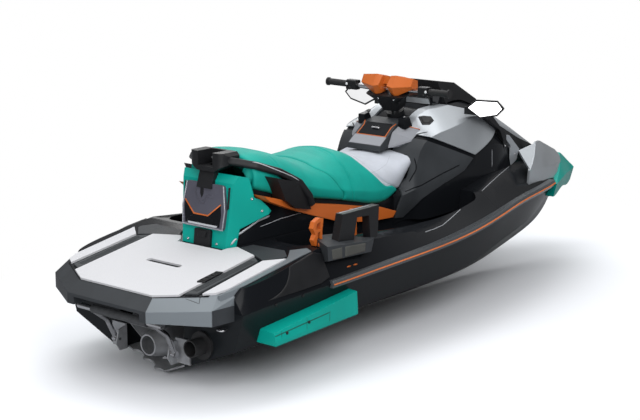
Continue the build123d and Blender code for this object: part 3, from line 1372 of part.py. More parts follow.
LENS_THICK = 3
with BuildPart() as mirror_lenses:
    with BuildSketch(Plane.YZ.offset(MIRROR_X)):
        with BuildLine():
            Polyline(*mirror_outline, close=True)
        make_face()
        offset(amount=-6, kind=Kind.INTERSECTION)
    extrude(amount=-LENS_THICK)
    mirror(about=Plane.XZ)

FENDER_THICK = 9
with BuildPart() as side_fenders:
    with BuildSketch(Plane.XZ.offset(400)):
        with BuildLine():
            Polyline((-1500, 436), (-1200, 545), (-1069, 555), (-1010, 540), (-1000, 440), (-1060, 425),
                     (-1500, 405),
                     close=True)
        make_face()
    extrude(amount=300)
    mirror(about=Plane.XZ)
    with BuildPart(mode=Mode.PRIVATE) as skin:
        for row in LINES[:4]:
            sheer, gunwale = row[3], row[4]
            add(half_section(row[0], [(sheer[0] + FENDER_THICK, sheer[1] - 20),
                                      (sheer[0] + FENDER_THICK, sheer[1]),
                                      (gunwale[0] + FENDER_THICK, gunwale[1] + 4)], gunwale[1] + 5, sheer[1] - 21))
        loft(ruled=True)
    add(skin.part, mode=Mode.INTERSECT)
    add(above_platform.part, mode=Mode.SUBTRACT)
    for piece in (deck, hull, rub_rails, rub_stripes, rack_base, rack_upright, stern_bumper, stern_corner,
                  sponsons,
                  platform_mats):
        add(piece.part, mode=Mode.SUBTRACT)

with BuildPart() as bow_eye:
    with BuildLine():
        FilletPolyline((1690, 0, 300), (1735, 0, 300), (1735, 0, 350), (1690, 0, 350), radius=20)
    with BuildSketch(Plane(origin=(1690, 0, 300), z_dir=(1, 0, 0))):
        Circle(5)
    sweep()
    add(hull.part, mode=Mode.SUBTRACT)
for name, piece in (("footwell_mats", footwell_mats), ("rack_cleats", rack_cleats),
                    ("mirror_lenses", mirror_lenses),
                    ("bow_eye", bow_eye)):
    save(piece.part, name)
save(largest_pair(side_fenders.part), "side_fenders")
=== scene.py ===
"""Looks of the personal watercraft: finishes, fine pieces, camera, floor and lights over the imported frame."""
import json
import math
from functools import lru_cache

import bmesh
import bpy
import numpy as np
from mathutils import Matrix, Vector
from mathutils.bvhtree import BVHTree


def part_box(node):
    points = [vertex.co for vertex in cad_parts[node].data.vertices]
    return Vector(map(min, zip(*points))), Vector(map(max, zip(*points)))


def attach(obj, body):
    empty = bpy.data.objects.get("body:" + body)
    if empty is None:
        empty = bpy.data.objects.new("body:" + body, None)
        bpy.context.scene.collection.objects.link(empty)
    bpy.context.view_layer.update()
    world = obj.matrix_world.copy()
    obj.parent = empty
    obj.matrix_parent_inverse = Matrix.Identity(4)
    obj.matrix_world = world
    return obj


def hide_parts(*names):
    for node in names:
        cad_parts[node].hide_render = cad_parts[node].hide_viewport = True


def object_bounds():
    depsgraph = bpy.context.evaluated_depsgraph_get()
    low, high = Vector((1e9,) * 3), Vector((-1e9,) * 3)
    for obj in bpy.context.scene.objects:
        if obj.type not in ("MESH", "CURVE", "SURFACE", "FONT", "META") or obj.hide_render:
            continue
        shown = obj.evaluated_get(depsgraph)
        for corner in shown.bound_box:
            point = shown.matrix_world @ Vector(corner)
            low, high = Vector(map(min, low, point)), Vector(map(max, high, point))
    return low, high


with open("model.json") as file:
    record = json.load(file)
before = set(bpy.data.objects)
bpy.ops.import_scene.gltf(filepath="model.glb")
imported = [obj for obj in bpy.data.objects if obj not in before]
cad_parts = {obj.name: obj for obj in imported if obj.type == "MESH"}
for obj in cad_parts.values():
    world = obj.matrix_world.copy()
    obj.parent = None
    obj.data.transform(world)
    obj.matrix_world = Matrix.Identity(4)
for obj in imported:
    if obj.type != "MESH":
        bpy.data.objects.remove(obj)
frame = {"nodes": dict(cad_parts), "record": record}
cad_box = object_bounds()
nodes = frame["nodes"]
record = frame["record"]

# ---------------------------------------------------------------- colours (linear)
TEAL = (0.002, 0.345, 0.285)
TEAL_DEEP = (0.002, 0.235, 0.185)
ORANGE = (0.60, 0.135, 0.020)
PALE = (0.62, 0.625, 0.65)
SILVER = (0.44, 0.47, 0.50)
CHARCOAL = (0.036, 0.040, 0.045)
BLACK = (0.008, 0.009, 0.011)
HULL_BLACK = (0.010, 0.012, 0.014)

# ---------------------------------------------------------------- node trees
MIX_FACTOR, MIX_FIRST, MIX_SECOND, MIX_RESULT = 0, 6, 7, 2      # sockets of a Mix node set to RGBA
TEXTURE_LOW, TEXTURE_HIGH = 0.3, 0.7                            # most of a noise texture's values lie between


class Graph:
    """A shader node tree, and short ways to fill it."""

    def __init__(self, tree):
        self.tree = tree
        self.link = tree.links.new

    def feed(self, node, **values):
        """Set or link a node's inputs, and set its properties, by name with _ for a space."""
        for key, value in values.items():
            socket = node.inputs.get(key.replace("_", " "))
            if socket is None:
                setattr(node, key, value)
            elif isinstance(value, bpy.types.NodeSocket):
                self.link(value, socket)
            else:
                socket.default_value = value
        return node

    def add(self, kind, **values):
        """Add a shader node and feed it."""
        return self.feed(self.tree.nodes.new("ShaderNode" + kind), **values)

    def coordinates(self, scale=(1.0, 1.0, 1.0)):
        """Object coordinates, stretched by scale."""
        source = self.add("TexCoord").outputs["Object"]
        return self.add("Mapping", Scale=scale, Vector=source).outputs["Vector"]

    def noise(self, scale, detail, roughness=0.5, stretch=(1.0, 1.0, 1.0)):
        """Value of a noise texture over object coordinates."""
        return self.add("TexNoise", Vector=self.coordinates(stretch), Scale=scale, Detail=detail,
                        Roughness=roughness).outputs["Fac"]

    def cells(self, scale):
        """Distance from the middles of a cell texture over object coordinates."""
        return self.add("TexVoronoi", Vector=self.coordinates(), Scale=scale).outputs["Distance"]

    def spread(self, value, low, high, start=TEXTURE_LOW, end=TEXTURE_HIGH, curve="LINEAR"):
        """Map a value from the range start to end onto the range low to high."""
        return self.add("MapRange", interpolation_type=curve, Value=value, From_Min=start, From_Max=end,
                        To_Min=low, To_Max=high).outputs["Result"]

    def combine(self, operation, first, second):
        """Result of a math node on two values."""
        node = self.add("Math", operation=operation)
        self.link(first, node.inputs[0])
        self.link(second, node.inputs[1])
        return node.outputs["Value"]

    def tint(self, factor, first, second):
        """Blend of two colours by a factor."""
        node = self.add("Mix", data_type="RGBA")
        node.inputs[MIX_FIRST].default_value = (*first, 1)
        node.inputs[MIX_SECOND].default_value = (*second, 1)
        self.link(factor, node.inputs[MIX_FACTOR])
        return node.outputs[MIX_RESULT]


class Look(Graph):
    """A material and its main shader, whose plain settings are given by name."""

    def __init__(self, name, **settings):
        self.material = bpy.data.materials.new(name)
        self.material.use_nodes = True
        super().__init__(self.material.node_tree)
        self.shader = self.feed(self.tree.nodes["Principled BSDF"], **settings)

    def vary(self, value, colour, dark, bright):
        """Drive the base colour by a texture value, from a darker to a brighter shade of a colour."""
        shades = [tuple(min(1.0, part * factor) for part in colour) for factor in (dark, bright)]
        self.feed(self.shader, Base_Color=self.tint(self.spread(value, 0.0, 1.0), *shades))

    def roughen(self, value, low, high, **limits):
        """Drive the roughness by a texture value."""
        self.feed(self.shader, Roughness=self.spread(value, low, high, **limits))

    def soft_edges(self, radius):
        """Let light roll over the sharp edges of a moulding."""
        self.feed(self.shader, Normal=self.add("Bevel", samples=4, Radius=radius).outputs["Normal"])

    def bump(self, height, distance, strength=1.0):
        """Add a height to the shader's normal, over what is there already."""
        node = self.add("Bump", Strength=strength, Distance=distance, Height=height)
        for link in self.shader.inputs["Normal"].links:
            self.link(link.from_socket, node.inputs["Normal"])
        self.feed(self.shader, Normal=node.outputs["Normal"])


# ---------------------------------------------------------------- materials
def gelcoat(name, colour, rough, metal=0.0, coat=0.6, flake=0.0, gloss=0.3):
    """Sprayed or moulded glossy skin with slight waviness, orange peel and fine flake."""
    look = Look(name, Metallic=metal, Specular_IOR_Level=gloss, Coat_Weight=coat, Coat_Roughness=0.08)
    look.vary(look.noise(3.0, 2.0), colour, 0.93, 1.07)
    look.roughen(look.noise(900.0, 2.0), rough - 0.03 - flake, rough + 0.05 + flake)
    look.soft_edges(0.004)
    look.bump(look.noise(160.0, 2.0), 0.00012)
    return look.material


def moulded(name, colour, rough, grain=0.00025):
    """Moulded plastic with a fine cellular grain."""
    look = Look(name, Specular_IOR_Level=0.3)
    cloud = look.noise(9.0, 4.0)
    look.vary(cloud, colour, 0.88, 1.12)
    look.roughen(cloud, rough - 0.05, rough + 0.07)
    look.soft_edges(0.003)
    look.bump(look.cells(700.0), grain)
    return look.material


def vinyl(name, colour):
    """Marine vinyl: pebbled leather grain over soft colour variation."""
    look = Look(name, Specular_IOR_Level=0.25)
    pebbles = look.cells(420.0)
    look.vary(look.noise(14.0, 4.0), colour, 0.93, 1.06)
    look.roughen(pebbles, 0.5, 0.62, start=0.0, end=0.8)
    look.bump(pebbles, 0.0004, 0.7)
    look.bump(look.noise(1500.0, 3.0), 0.0001, 0.5)
    return look.material


def foam_mat(name, colour):
    """Closed-cell deck foam, brushed fore and aft."""
    look = Look(name)
    streak = look.noise(1.0, 4.0, 0.6, stretch=(14.0, 900.0, 900.0))
    look.vary(streak, colour, 0.9, 1.03)
    look.roughen(look.noise(6.0, 3.0), 0.72, 0.86)
    look.bump(streak, 0.0004, 0.7)
    look.bump(look.noise(1100.0, 2.0), 0.0002, 0.5)
    return look.material


def cast_metal(name, colour):
    """Sand-cast alloy: metallic, with a coarse skin and dull patches."""
    look = Look(name, Metallic=0.6)
    cloud = look.noise(24.0, 5.0)
    look.vary(cloud, colour, 0.8, 1.1)
    look.roughen(cloud, 0.32, 0.54)
    look.bump(look.noise(520.0, 4.0, 0.65), 0.0005)
    return look.material


def machined(name, colour):
    """Polished tube or rod with faint drawing lines."""
    look = Look(name, Metallic=1.0)
    lines = look.noise(1.0, 2.0, stretch=(600.0, 60.0, 600.0))
    look.vary(lines, colour, 0.92, 1.0)
    look.roughen(lines, 0.13, 0.28)
    return look.material


def soft_rubber(name, colour, rough=0.65):
    """Rubber or thread with a powdery, slightly uneven skin."""
    look = Look(name)
    cloud = look.noise(40.0, 4.0)
    look.vary(cloud, colour, 0.8, 1.25)
    look.roughen(cloud, rough - 0.07, rough + 0.1)
    look.bump(look.noise(800.0, 3.0), 0.0002)
    return look.material


def dark_glass(name, colour, rough=0.06):
    """Glossy lens over a display."""
    look = Look(name, Coat_Weight=1.0)
    cloud = look.noise(30.0, 2.0)
    look.vary(cloud, colour, 0.9, 1.1)
    look.roughen(cloud, rough, rough + 0.04)
    return look.material


def clear_plastic(name, colour):
    """Clear moulded plastic, slightly milky."""
    look = Look(name, Transmission_Weight=0.6, IOR=1.49)
    cloud = look.noise(40.0, 2.0)
    look.vary(cloud, colour, 0.95, 1.0)
    look.roughen(cloud, 0.08, 0.16)
    return look.material


def silvered(name, lift=0.8):
    """Mirror glass, its normal lifted so that it looks up over the seat."""
    look = Look(name, Metallic=1.0)
    cloud = look.noise(20.0, 2.0)
    colour = look.tint(look.spread(cloud, 0.0, 1.0), (0.93, 0.94, 0.95), (0.97, 0.97, 0.98))
    look.feed(look.shader, Base_Color=colour)
    look.roughen(cloud, 0.01, 0.025)
    tilt = look.add("VectorMath", operation="ADD", Vector=look.add("NewGeometry").outputs["Normal"])
    tilt.inputs[1].default_value = (0.0, 0.0, lift)
    level = look.add("VectorMath", operation="NORMALIZE", Vector=tilt.outputs["Vector"])
    look.feed(look.shader, Normal=level.outputs["Vector"])
    return look.material


LOOKS = {
    # one for each of the record's slots
    "hull_black": gelcoat("gelcoat_hull", HULL_BLACK, 0.30, coat=0.05, gloss=0.14),
    "deck_black": gelcoat("gelcoat_deck", BLACK, 0.16, coat=0.0, gloss=0.09),
    "charcoal": moulded("moulded_charcoal", CHARCOAL, 0.5),
    "silver": gelcoat("paint_silver", SILVER, 0.34, metal=0.5, coat=0.3, flake=0.04),
    "teal": gelcoat("paint_teal", TEAL, 0.36, coat=0.05, gloss=0.18),
    "teal_vinyl": vinyl("vinyl_teal", TEAL),
    "light_vinyl": vinyl("vinyl_light", (0.54, 0.57, 0.63)),
    "orange": gelcoat("plastic_orange", ORANGE, 0.42, coat=0.15),
    "mat_light": foam_mat("foam_light", PALE),
    "mat_dark": foam_mat("foam_dark", (0.05, 0.055, 0.06)),
    "black_plastic": moulded("moulded_black", (0.010, 0.0105, 0.012), 0.42, 0.0002),
    "aluminium": cast_metal("alloy_cast", (0.50, 0.51, 0.53)),
    "steel": machined("steel_polished", (0.62, 0.62, 0.64)),
    "rubber": soft_rubber("rubber_grip", (0.012, 0.012, 0.013)),
    "screen": dark_glass("glass_screen", (0.01, 0.011, 0.013)),
    "mirror_glass": silvered("glass_mirror"),
    "exhaust": soft_rubber("rubber_exhaust", (0.014, 0.014, 0.015), 0.5),
    "panel_grey": moulded("moulded_panel", (0.085, 0.085, 0.11), 0.4, 0.00015),
    # added looks
    "corner_grey": gelcoat("paint_corner", (0.20, 0.225, 0.245), 0.36, metal=0.35, coat=0.2, flake=0.03),
    # painted light: the step's sleeve rubber is lighter than the grips' rubber so that it shows in the platform
    # lip's shadow
    "sleeve": soft_rubber("rubber_sleeve_painted_light", (0.055, 0.058, 0.062), 0.5),
    "rail_grey": gelcoat("trim_rail", (0.115, 0.125, 0.135), 0.26, metal=0.45, coat=0.4, gloss=0.5),
    "rack_plate": moulded("rack_plate", (0.075, 0.076, 0.070), 0.55, 0.00015),
    "brushed": foam_mat("brushed_grey", (0.30, 0.31, 0.34)),
    # pale strip: real trim on the housing lip and the rack's edge, and painted highlights on the gunwales, the cowl
    # seam and the grab rail
    "pale_trim_and_highlight": gelcoat("bright_trim_and_highlight", (0.62, 0.64, 0.68), 0.3, metal=0.3, coat=0.4),
    "button_white": moulded("button_white", (0.75, 0.76, 0.78), 0.35, 0.0001),
    "button_red": moulded("button_red", (0.55, 0.02, 0.015), 0.35, 0.0001),
    "thread": soft_rubber("thread_teal", TEAL_DEEP, 0.8),
    "thread_pale": soft_rubber("thread_grey", (0.36, 0.37, 0.42), 0.8),
    "lit_screen": dark_glass("glass_grey", (0.42, 0.45, 0.48), 0.12),
    "clear": clear_plastic("clear_rim", (0.75, 0.78, 0.85)),
    # darker teal, painted as the shade of the sponson grooves
    "teal_groove_shade": gelcoat("teal_painted_groove_shade", (0.001, 0.12, 0.09), 0.4, coat=0.1),
}
# CAD nodes that have another look than their slot's
NODE_LOOKS = {"stern_corner": "corner_grey", "step_sleeve": "sleeve", "rub_rails": "rail_grey"}
WELD_DISTANCE, SPLIT_ANGLE = 0.00002, math.radians(24)


def dress_cad_nodes():
    """Give each CAD node its finish, and smooth it with modifiers that leave its mesh alone."""
    slots = {entry["node"]: entry["material_slot"] for entry in record["subparts"]}
    for name, piece in nodes.items():
        piece.data.materials.clear()
        piece.data.materials.append(LOOKS[NODE_LOOKS.get(name, slots[name])])
        piece.data.polygons.foreach_set("material_index", [0] * len(piece.data.polygons))
        piece.data.polygons.foreach_set("use_smooth", [True] * len(piece.data.polygons))
        piece.modifiers.new("weld", "WELD").merge_threshold = WELD_DISTANCE
        piece.modifiers.new("edge_split", "EDGE_SPLIT").split_angle = SPLIT_ANGLE


# ---------------------------------------------------------------- shapes: pairs of points and faces
BEVEL_ANGLE = math.radians(30)


def add_piece(name, shape, look, body="craft", smooth=True, edge=0.0, segments=2):
    """New piece in metres riding on a body, its sharp edges bevelled by edge."""
    vertices, faces = shape
    mesh = bpy.data.meshes.new(name)
    mesh.from_pydata([tuple(point) for point in vertices], [], faces)
    mesh.materials.append(LOOKS[look])
    if smooth:
        mesh.polygons.foreach_set("use_smooth", [True] * len(faces))
    work = bmesh.new()
    work.from_mesh(mesh)
    bmesh.ops.recalc_face_normals(work, faces=work.faces)
    work.to_mesh(mesh)
    work.free()
    piece = bpy.data.objects.new(name, mesh)
    bpy.context.scene.collection.objects.link(piece)
    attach(piece, body)
    if edge:
        bevel = piece.modifiers.new("bevel", "BEVEL")
        bevel.width = edge
        bevel.segments = segments
        bevel.limit_method = "ANGLE"
        bevel.angle_limit = BEVEL_ANGLE
        bevel.harden_normals = True
    return piece


def mirrored(shape):
    """A mesh with its mirror image across the centreline added."""
    vertices, faces = shape
    count = len(vertices)
    twin = [(x, -y, z) for x, y, z in vertices]
    return list(vertices) + twin, faces + [tuple(count + i for i in reversed(face)) for face in faces]


def joined(shapes):
    """Several meshes as one."""
    vertices, faces = [], []
    for more_vertices, more_faces in shapes:
        start = len(vertices)
        vertices.extend(more_vertices)
        faces.extend(tuple(start + i for i in face) for face in more_faces)
    return vertices, faces


def skinned(rings):
    """Mesh over rings of as many points each, closed at both ends."""
    count, last = len(rings[0]), len(rings) - 1
    faces = []
    for row in range(last):
        for i in range(count):
            a, b = row * count + i, row * count + (i + 1) % count
            faces.append((a, b, b + count, a + count))
    faces += [tuple(range(count))[::-1], tuple(range(last * count, (last + 1) * count))]
    return [tuple(point) for ring in rings for point in ring], faces


def doubled(top, low, wide):
    """Mesh between two grids of points, wide points to a row, closed round their borders."""
    count = len(top)
    faces = []
    for start in range(0, count - wide, wide):
        for a in range(start, start + wide - 1):
            faces.append((a, a + 1, a + wide + 1, a + wide))
            faces.append((count + a, count + a + wide, count + a + wide + 1, count + a + 1))
        for a in (start, start + wide - 1):
            faces.append((a, a + wide, count + a + wide, count + a))
    for start in (0, count - wide):
        faces += [(a, a + 1, count + a + 1, count + a) for a in range(start, start + wide - 1)]
    return top + low, faces


def vectors(*points):
    """Points as vectors."""
    return [Vector(point) for point in points]


def scaled(points, factor):
    """Points drawn toward their middle."""
    centre = sum(points, Vector()) / len(points)
    return [centre + (point - centre) * factor for point in points]


def slab(corners, normal, thick, sink=0.0005, inset=0.0):
    """Plate from a planar outline, rising by thick along its normal, its top drawn in by inset."""
    normal = Vector(normal).normalized()
    corners = vectors(*corners)
    centre = sum(corners, Vector()) / len(corners)
    low = [corner - normal * sink for corner in corners]
    high = [corner + normal * thick + (centre - corner).normalized() * inset for corner in corners]
    return skinned([low, high])


def turned(profile, origin, axis, sides=20):
    """Body of revolution from (radius, height) pairs about an axis."""
    axis = Vector(axis).normalized()
    across = axis.orthogonal().normalized()
    up = axis.cross(across)
    turns = [2 * math.pi * i / sides for i in range(sides)]
    return skinned([[Vector(origin) + axis * height + (across * math.cos(turn) + up * math.sin(turn)) * radius
                     for turn in turns] for radius, height in profile])


# Radius and height of a pan head with a socket, for a radius of 1
PAN_HEAD = ((1.02, 0.25), (0.9, 0.5), (0.66, 0.62), (0.46, 0.62), (0.42, 0.2))


def screw(origin, normal, radius=0.005):
    """Pan-head screw with a socket in it."""
    head = [(radius * wide, radius * high) for wide, high in PAN_HEAD]
    return turned([(radius, -0.001)] + head, origin, normal, 12)


HALF_ROUND = [(math.cos(turn), math.sin(turn)) for turn in np.linspace(math.pi, 0.0, 5)]
RIBBON_SINK, MITRE_LIMIT = 0.0004, 0.5


def half_round(place, across, normal, width, height, sink):
    """Half-round section of a strip."""
    return [place + across * (width / 2 * x) + normal * (height * y - sink) for x, y in HALF_ROUND]


def ribbon(points, normal, width, height):
    """Half-round ribbon along straight runs in a plane, mitred at its corners."""
    normal = Vector(normal).normalized()
    points = vectors(*points)
    rings = []
    for i, place in enumerate(points):
        before = (place - points[i - 1]).normalized() if i else (points[1] - place).normalized()
        after = (points[i + 1] - place).normalized() if i < len(points) - 1 else before
        bisector = (before + after).normalized()
        across = normal.cross(bisector).normalized() / max(MITRE_LIMIT, bisector.dot(before))
        rings.append(half_round(place, across, normal, width, height, RIBBON_SINK))
    return skinned(rings)


@lru_cache(maxsize=None)
def search_tree(name):
    """Search tree of a CAD node or a finished piece."""
    mesh = (nodes.get(name) or bpy.data.objects[name]).data
    return BVHTree.FromPolygons([v.co[:] for v in mesh.vertices], [p.vertices[:] for p in mesh.polygons])


def on_surface(names, point, direction):
    """Place and outward normal where a ray first meets the named nodes or pieces, or None."""
    direction = Vector(direction).normalized()
    hits = [search_tree(name).ray_cast(Vector(point), direction) for name in names]
    hits = [hit for hit in hits if hit[0] is not None]
    if not hits:
        return None
    place, normal, _, _ = min(hits, key=lambda hit: hit[3])
    return place, (-normal if normal.dot(direction) > 0 else normal)


CAST_FROM = 1.5                     # how far back a ray starts
END_TAPER = (0.35, 0.8, 1.0)        # size of a strip's first sections


def laid_strip(names, points, direction, width, height, step=0.008, sink=0.0006):
    """Half-round strip laid on nodes or pieces along a polyline, seen from one direction."""
    direction = Vector(direction).normalized()
    points = vectors(*points)
    path = []
    for first, second in zip(points, points[1:]):
        count = max(1, round((second - first).length / step))
        path += [first.lerp(second, i / count) for i in range(count)]
    hits = [on_surface(names, point - direction * CAST_FROM, direction) for point in path + points[-1:]]
    hits = [hit for hit in hits if hit is not None]
    last = len(hits) - 1
    rings = []
    for i, (place, normal) in enumerate(hits):
        ahead = hits[min(i + 1, last)][0] - hits[max(i - 1, 0)][0]
        size = END_TAPER[min(i, last - i, 2)]
        across = normal.cross(ahead).normalized()
        rings.append(half_round(place, across, normal, width * size, height * size, sink))
    return skinned(rings)


def add_strips(name, look, names, direction, strips, both=True):
    """Piece of (width, height, points) strips laid on nodes or pieces, on both sides or on starboard only."""
    shapes = [laid_strip(names, points, direction, width, height) for width, height, points in strips]
    add_piece(name, joined([mirrored(shape) for shape in shapes] if both else shapes), look)


def laid_sheet(names, corners, direction, thick, steps=(14, 10), sink=0.001, border=0.35):
    """Thin sheet over nodes, under four corners found by casting along a direction, thinner at its border."""
    way = Vector(direction)
    first, second, third, fourth = vectors(*corners)
    rows, columns = steps
    top, low = [], []
    for i in range(rows + 1):
        for j in range(columns + 1):
            u, v = i / rows, j / columns
            start = (first * (1 - u) + second * u) * (1 - v) + (fourth * (1 - u) + third * u) * v
            place, _ = on_surface(names, start, way)
            share = border if i in (0, rows) or j in (0, columns) else 1.0
            top.append(place - way * (thick * share))
            low.append(place + way * sink)
    return doubled(top, low, columns + 1)


# ---------------------------------------------------------------- seats
# Sections of the seat form: x, bottom (y, z), waist (y, z), shoulder (y, z), top z, in metres
SEAT_FORM = [
    (-1.080, (0.190, 0.510), (0.195, 0.582), (0.135, 0.646), 0.661),
    (-0.990, (0.222, 0.482), (0.226, 0.570), (0.155, 0.646), 0.663),
    (-0.870, (0.246, 0.442), (0.252, 0.520), (0.172, 0.613), 0.639),
    (-0.700, (0.262, 0.414), (0.268, 0.472), (0.176, 0.552), 0.576),
    (-0.550, (0.270, 0.384), (0.275, 0.442), (0.176, 0.552), 0.584),
    (-0.420, (0.268, 0.354), (0.272, 0.420), (0.166, 0.556), 0.596),
    (-0.330, (0.260, 0.334), (0.264, 0.404), (0.172, 0.532), 0.570),
    (-0.200, (0.248, 0.322), (0.252, 0.398), (0.192, 0.496), 0.532),
    (-0.070, (0.232, 0.360), (0.238, 0.436), (0.196, 0.492), 0.532),
    (0.070, (0.214, 0.472), (0.218, 0.496), (0.200, 0.516), 0.542),
]
# Places count from 0 at the port bottom edge over 3 at the middle to 6 at the starboard bottom edge.
PLACES_ROUND = 6
FORM_PLACES = (0.0, 0.62, 1.0, 1.5, 2.0, 2.5, 3.0, 3.5, 4.0, 4.5, 5.0, 5.38, 6.0)
FORM_STEPS, STITCH_STEPS = 120, 399         # fine steps round a section, and along a row of stitches
# Seams between cushions, grooves across them and their outer ends, as x at the bottom, low side, waist,
# shoulder slope, shoulder, crown and middle
SEAM_PLACES = (0.0, 0.5, 1.0, 1.5, 2.0, 2.5, 3.0)
REAR_SEAM = (-0.548, -0.546, -0.566, -0.600, -0.650, -0.648, -0.636)
FRONT_SEAM = (-0.070, -0.130, -0.190, -0.262, -0.318, -0.318, -0.305)
SADDLE_SEAM = (-0.476, -0.482, -0.486, -0.476, -0.474, -0.462, -0.450)
AFT_END, AFT_SEAM = (-1.078,) * 7, (-0.94,) * 7
FORE_END = (0.052, 0.058, 0.064, 0.066, 0.066, 0.066, 0.066)
CUSHION_LONG, CUSHION_ROUND = 90, 60        # faces of a cushion lengthways and round
CUSHION_THICK, INNER_WIDTH = 0.045, 0.82    # underside: how far below, and share of the width
ROLL_REACH, ROLL_DIP = 0.016, 0.011         # rolled ends: how far in from a seam, and how deep
HEM_PLACE, HEM_DIP = 0.25, 0.012            # bottom edges: up to which place they draw in, and how deep
SWELL, SWELL_AWAY, SWELL_WIDE = 0.35, 2.4, 1.6      # the vinyl's rise beside a groove, in the groove's own measures
THREAD, THREAD_SINK = 0.0008, 0.0006        # radius of a stitch, and how far its middle lies in the vinyl
STITCH = ((-0.0024, 0.35), (-0.0012, 1.0), (0.0012, 1.0), (0.0024, 0.35))      # its sections and their size
STITCH_CENTRE_Z = 0.42                      # height that stitches face away from


def catmull(values, places, where):
    """Smooth interpolation of rows of values at rising places."""
    values, places = np.asarray(values, float), np.asarray(places, float)
    where = np.clip(where, places[0], places[-1])
    k = np.clip(np.searchsorted(places, where, side="right") - 1, 0, len(places) - 2)
    slopes = np.gradient(values, places, axis=0)
    span = places[k + 1] - places[k]
    t = (where - places[k]) / span
    shape = (-1,) + (1,) * (values.ndim - 1)
    t, span = t.reshape(shape), span.reshape(shape)
    return ((1 + 2 * t) * (1 - t) ** 2 * values[k] + t * (1 - t) ** 2 * span * slopes[k]
            + t * t * (3 - 2 * t) * values[k + 1] + t * t * (t - 1) * span * slopes[k + 1])


def on_form(xs, places):
    """Points (y, z) of the seat form at each x, and at one place round it or at a place for each."""
    # the section is rounded out a little between the points of SEAT_FORM
    rows = []
    for _, bottom, waist, shoulder, top in SEAT_FORM:
        rows.append([bottom, (waist[0] + 0.003, waist[1] - 0.018), waist,
                     ((waist[0] + shoulder[0]) / 2 + 0.012, (waist[1] + shoulder[1]) / 2 + 0.007), shoulder,
                     (shoulder[0] * 0.62, (shoulder[1] + 2 * top) / 3 + 0.001), (0.0, top)])
    grid = catmull(rows, [row[0] for row in SEAT_FORM], np.asarray(xs, float))
    ring = np.concatenate([grid, (grid * np.array([-1, 1]))[:, ::-1][:, 1:]], axis=1)
    fine = np.linspace(0, PLACES_ROUND, FORM_STEPS + 1)
    profile = np.stack([catmull(row, FORM_PLACES, fine) for row in ring])
    spot = np.interp(np.broadcast_to(places, len(xs)), fine, np.arange(len(fine)))
    low = np.floor(spot).astype(int)
    high = np.minimum(low + 1, FORM_STEPS)
    part, each = (spot - low)[:, None], np.arange(len(xs))
    return profile[each, low] * (1 - part) + profile[each, high] * part


def cushion(name, aft, fore, look, replaced, seams=(), ease=0):
    """Closed crowned cushion between two seams on the seat form, with rolled ends and sewn grooves."""
    fine = np.linspace(0, PLACES_ROUND, CUSHION_ROUND + 1)
    half_places = np.minimum(fine, PLACES_ROUND - fine)
    start, end = catmull(aft, SEAM_PLACES, half_places), catmull(fore, SEAM_PLACES, half_places)
    # rows lie closer together toward both ends
    share = np.linspace(0, 1, CUSHION_LONG + 1)
    share = 0.5 - 0.5 * np.cos(share * math.pi) * (0.35 + 0.65 * np.abs(np.cos(share * math.pi)) ** 0.2)
    share = (share - share[0]) / (share[-1] - share[0])
    top = np.zeros((CUSHION_LONG + 1, CUSHION_ROUND + 1, 3))
    for column, place in enumerate(fine):
        top[:, column, 0] = start[column] + (end[column] - start[column]) * share
        top[:, column, 1:] = on_form(top[:, column, 0], place)
    normal = np.cross(np.gradient(top, axis=0), np.gradient(top, axis=1))
    normal /= np.linalg.norm(normal, axis=2, keepdims=True) + 1e-12
    if normal[CUSHION_LONG // 2, CUSHION_ROUND // 2, 2] < 0:
        normal = -normal
    reach = np.minimum(np.abs(top[:, :, 0] - start), np.abs(end - top[:, :, 0]))
    roll = 1 - np.sqrt(np.clip(1 - (1 - reach / ROLL_REACH) ** 2, 0, 1))
    hem = np.clip(1 - half_places / HEM_PLACE, 0, 1) ** 2
    push = np.where(reach < ROLL_REACH, ROLL_DIP * roll, 0.0) + hem * HEM_DIP
    for seam, depth, width in seams:
        away = np.abs(top[:, :, 0] - catmull(seam, SEAM_PLACES, half_places))
        push += depth * np.exp(-(away / width) ** 2)
        push -= SWELL * depth * np.exp(-((away - SWELL_AWAY * width) / (SWELL_WIDE * width)) ** 2)
    surface = top - normal * push[:, :, None]
    for _ in range(ease):
        surface[1:-1, 1:-1] = (surface[1:-1, 1:-1] * 2 + surface[:-2, 1:-1] + surface[2:, 1:-1]
                               + surface[1:-1, :-2] + surface[1:-1, 2:]) / 6
    inner = surface * np.array([1.0, INNER_WIDTH, 1.0]) - np.array([0.0, 0.0, CUSHION_THICK])
    inner[:, :, 2] = np.maximum(inner[:, :, 2], surface[:, :1, 2])
    grids = [[tuple(point) for point in grid.reshape(-1, 3)] for grid in (surface, inner)]
    piece = add_piece(name, doubled(*grids, CUSHION_ROUND + 1), look)
    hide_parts(replaced)


def stitches(name, seam, offset, look, ends=0.35, pitch=0.007):
    """Row of thread stitches beside a seam, ending some places short of the bottom edges."""
    places = np.linspace(ends, PLACES_ROUND - ends, STITCH_STEPS + 1)
    xs = catmull(seam, SEAM_PLACES, np.minimum(places, PLACES_ROUND - places)) + offset
    points = [Vector((x, y, z)) for x, (y, z) in zip(xs, on_form(xs, places))]
    shapes, gone = [], 0.0
    for before, point, after in zip(points, points[1:], points[2:]):
        gone += (point - before).length
        if gone < pitch:
            continue
        gone = 0.0
        ahead = (after - before).normalized()
        out = Vector((0, point.y, point.z - STITCH_CENTRE_Z)).normalized()
        out = (out - ahead * out.dot(ahead)).normalized()
        side, base = ahead.cross(out), point - out * THREAD_SINK
        shapes.append(skinned([[base + ahead * along + (side * x + out * y) * (THREAD * size)
                                for x, y in ((1, 0), (0, 1), (-1, 0), (0, -1))] for along, size in STITCH]))
    add_piece(name, joined(shapes), look)


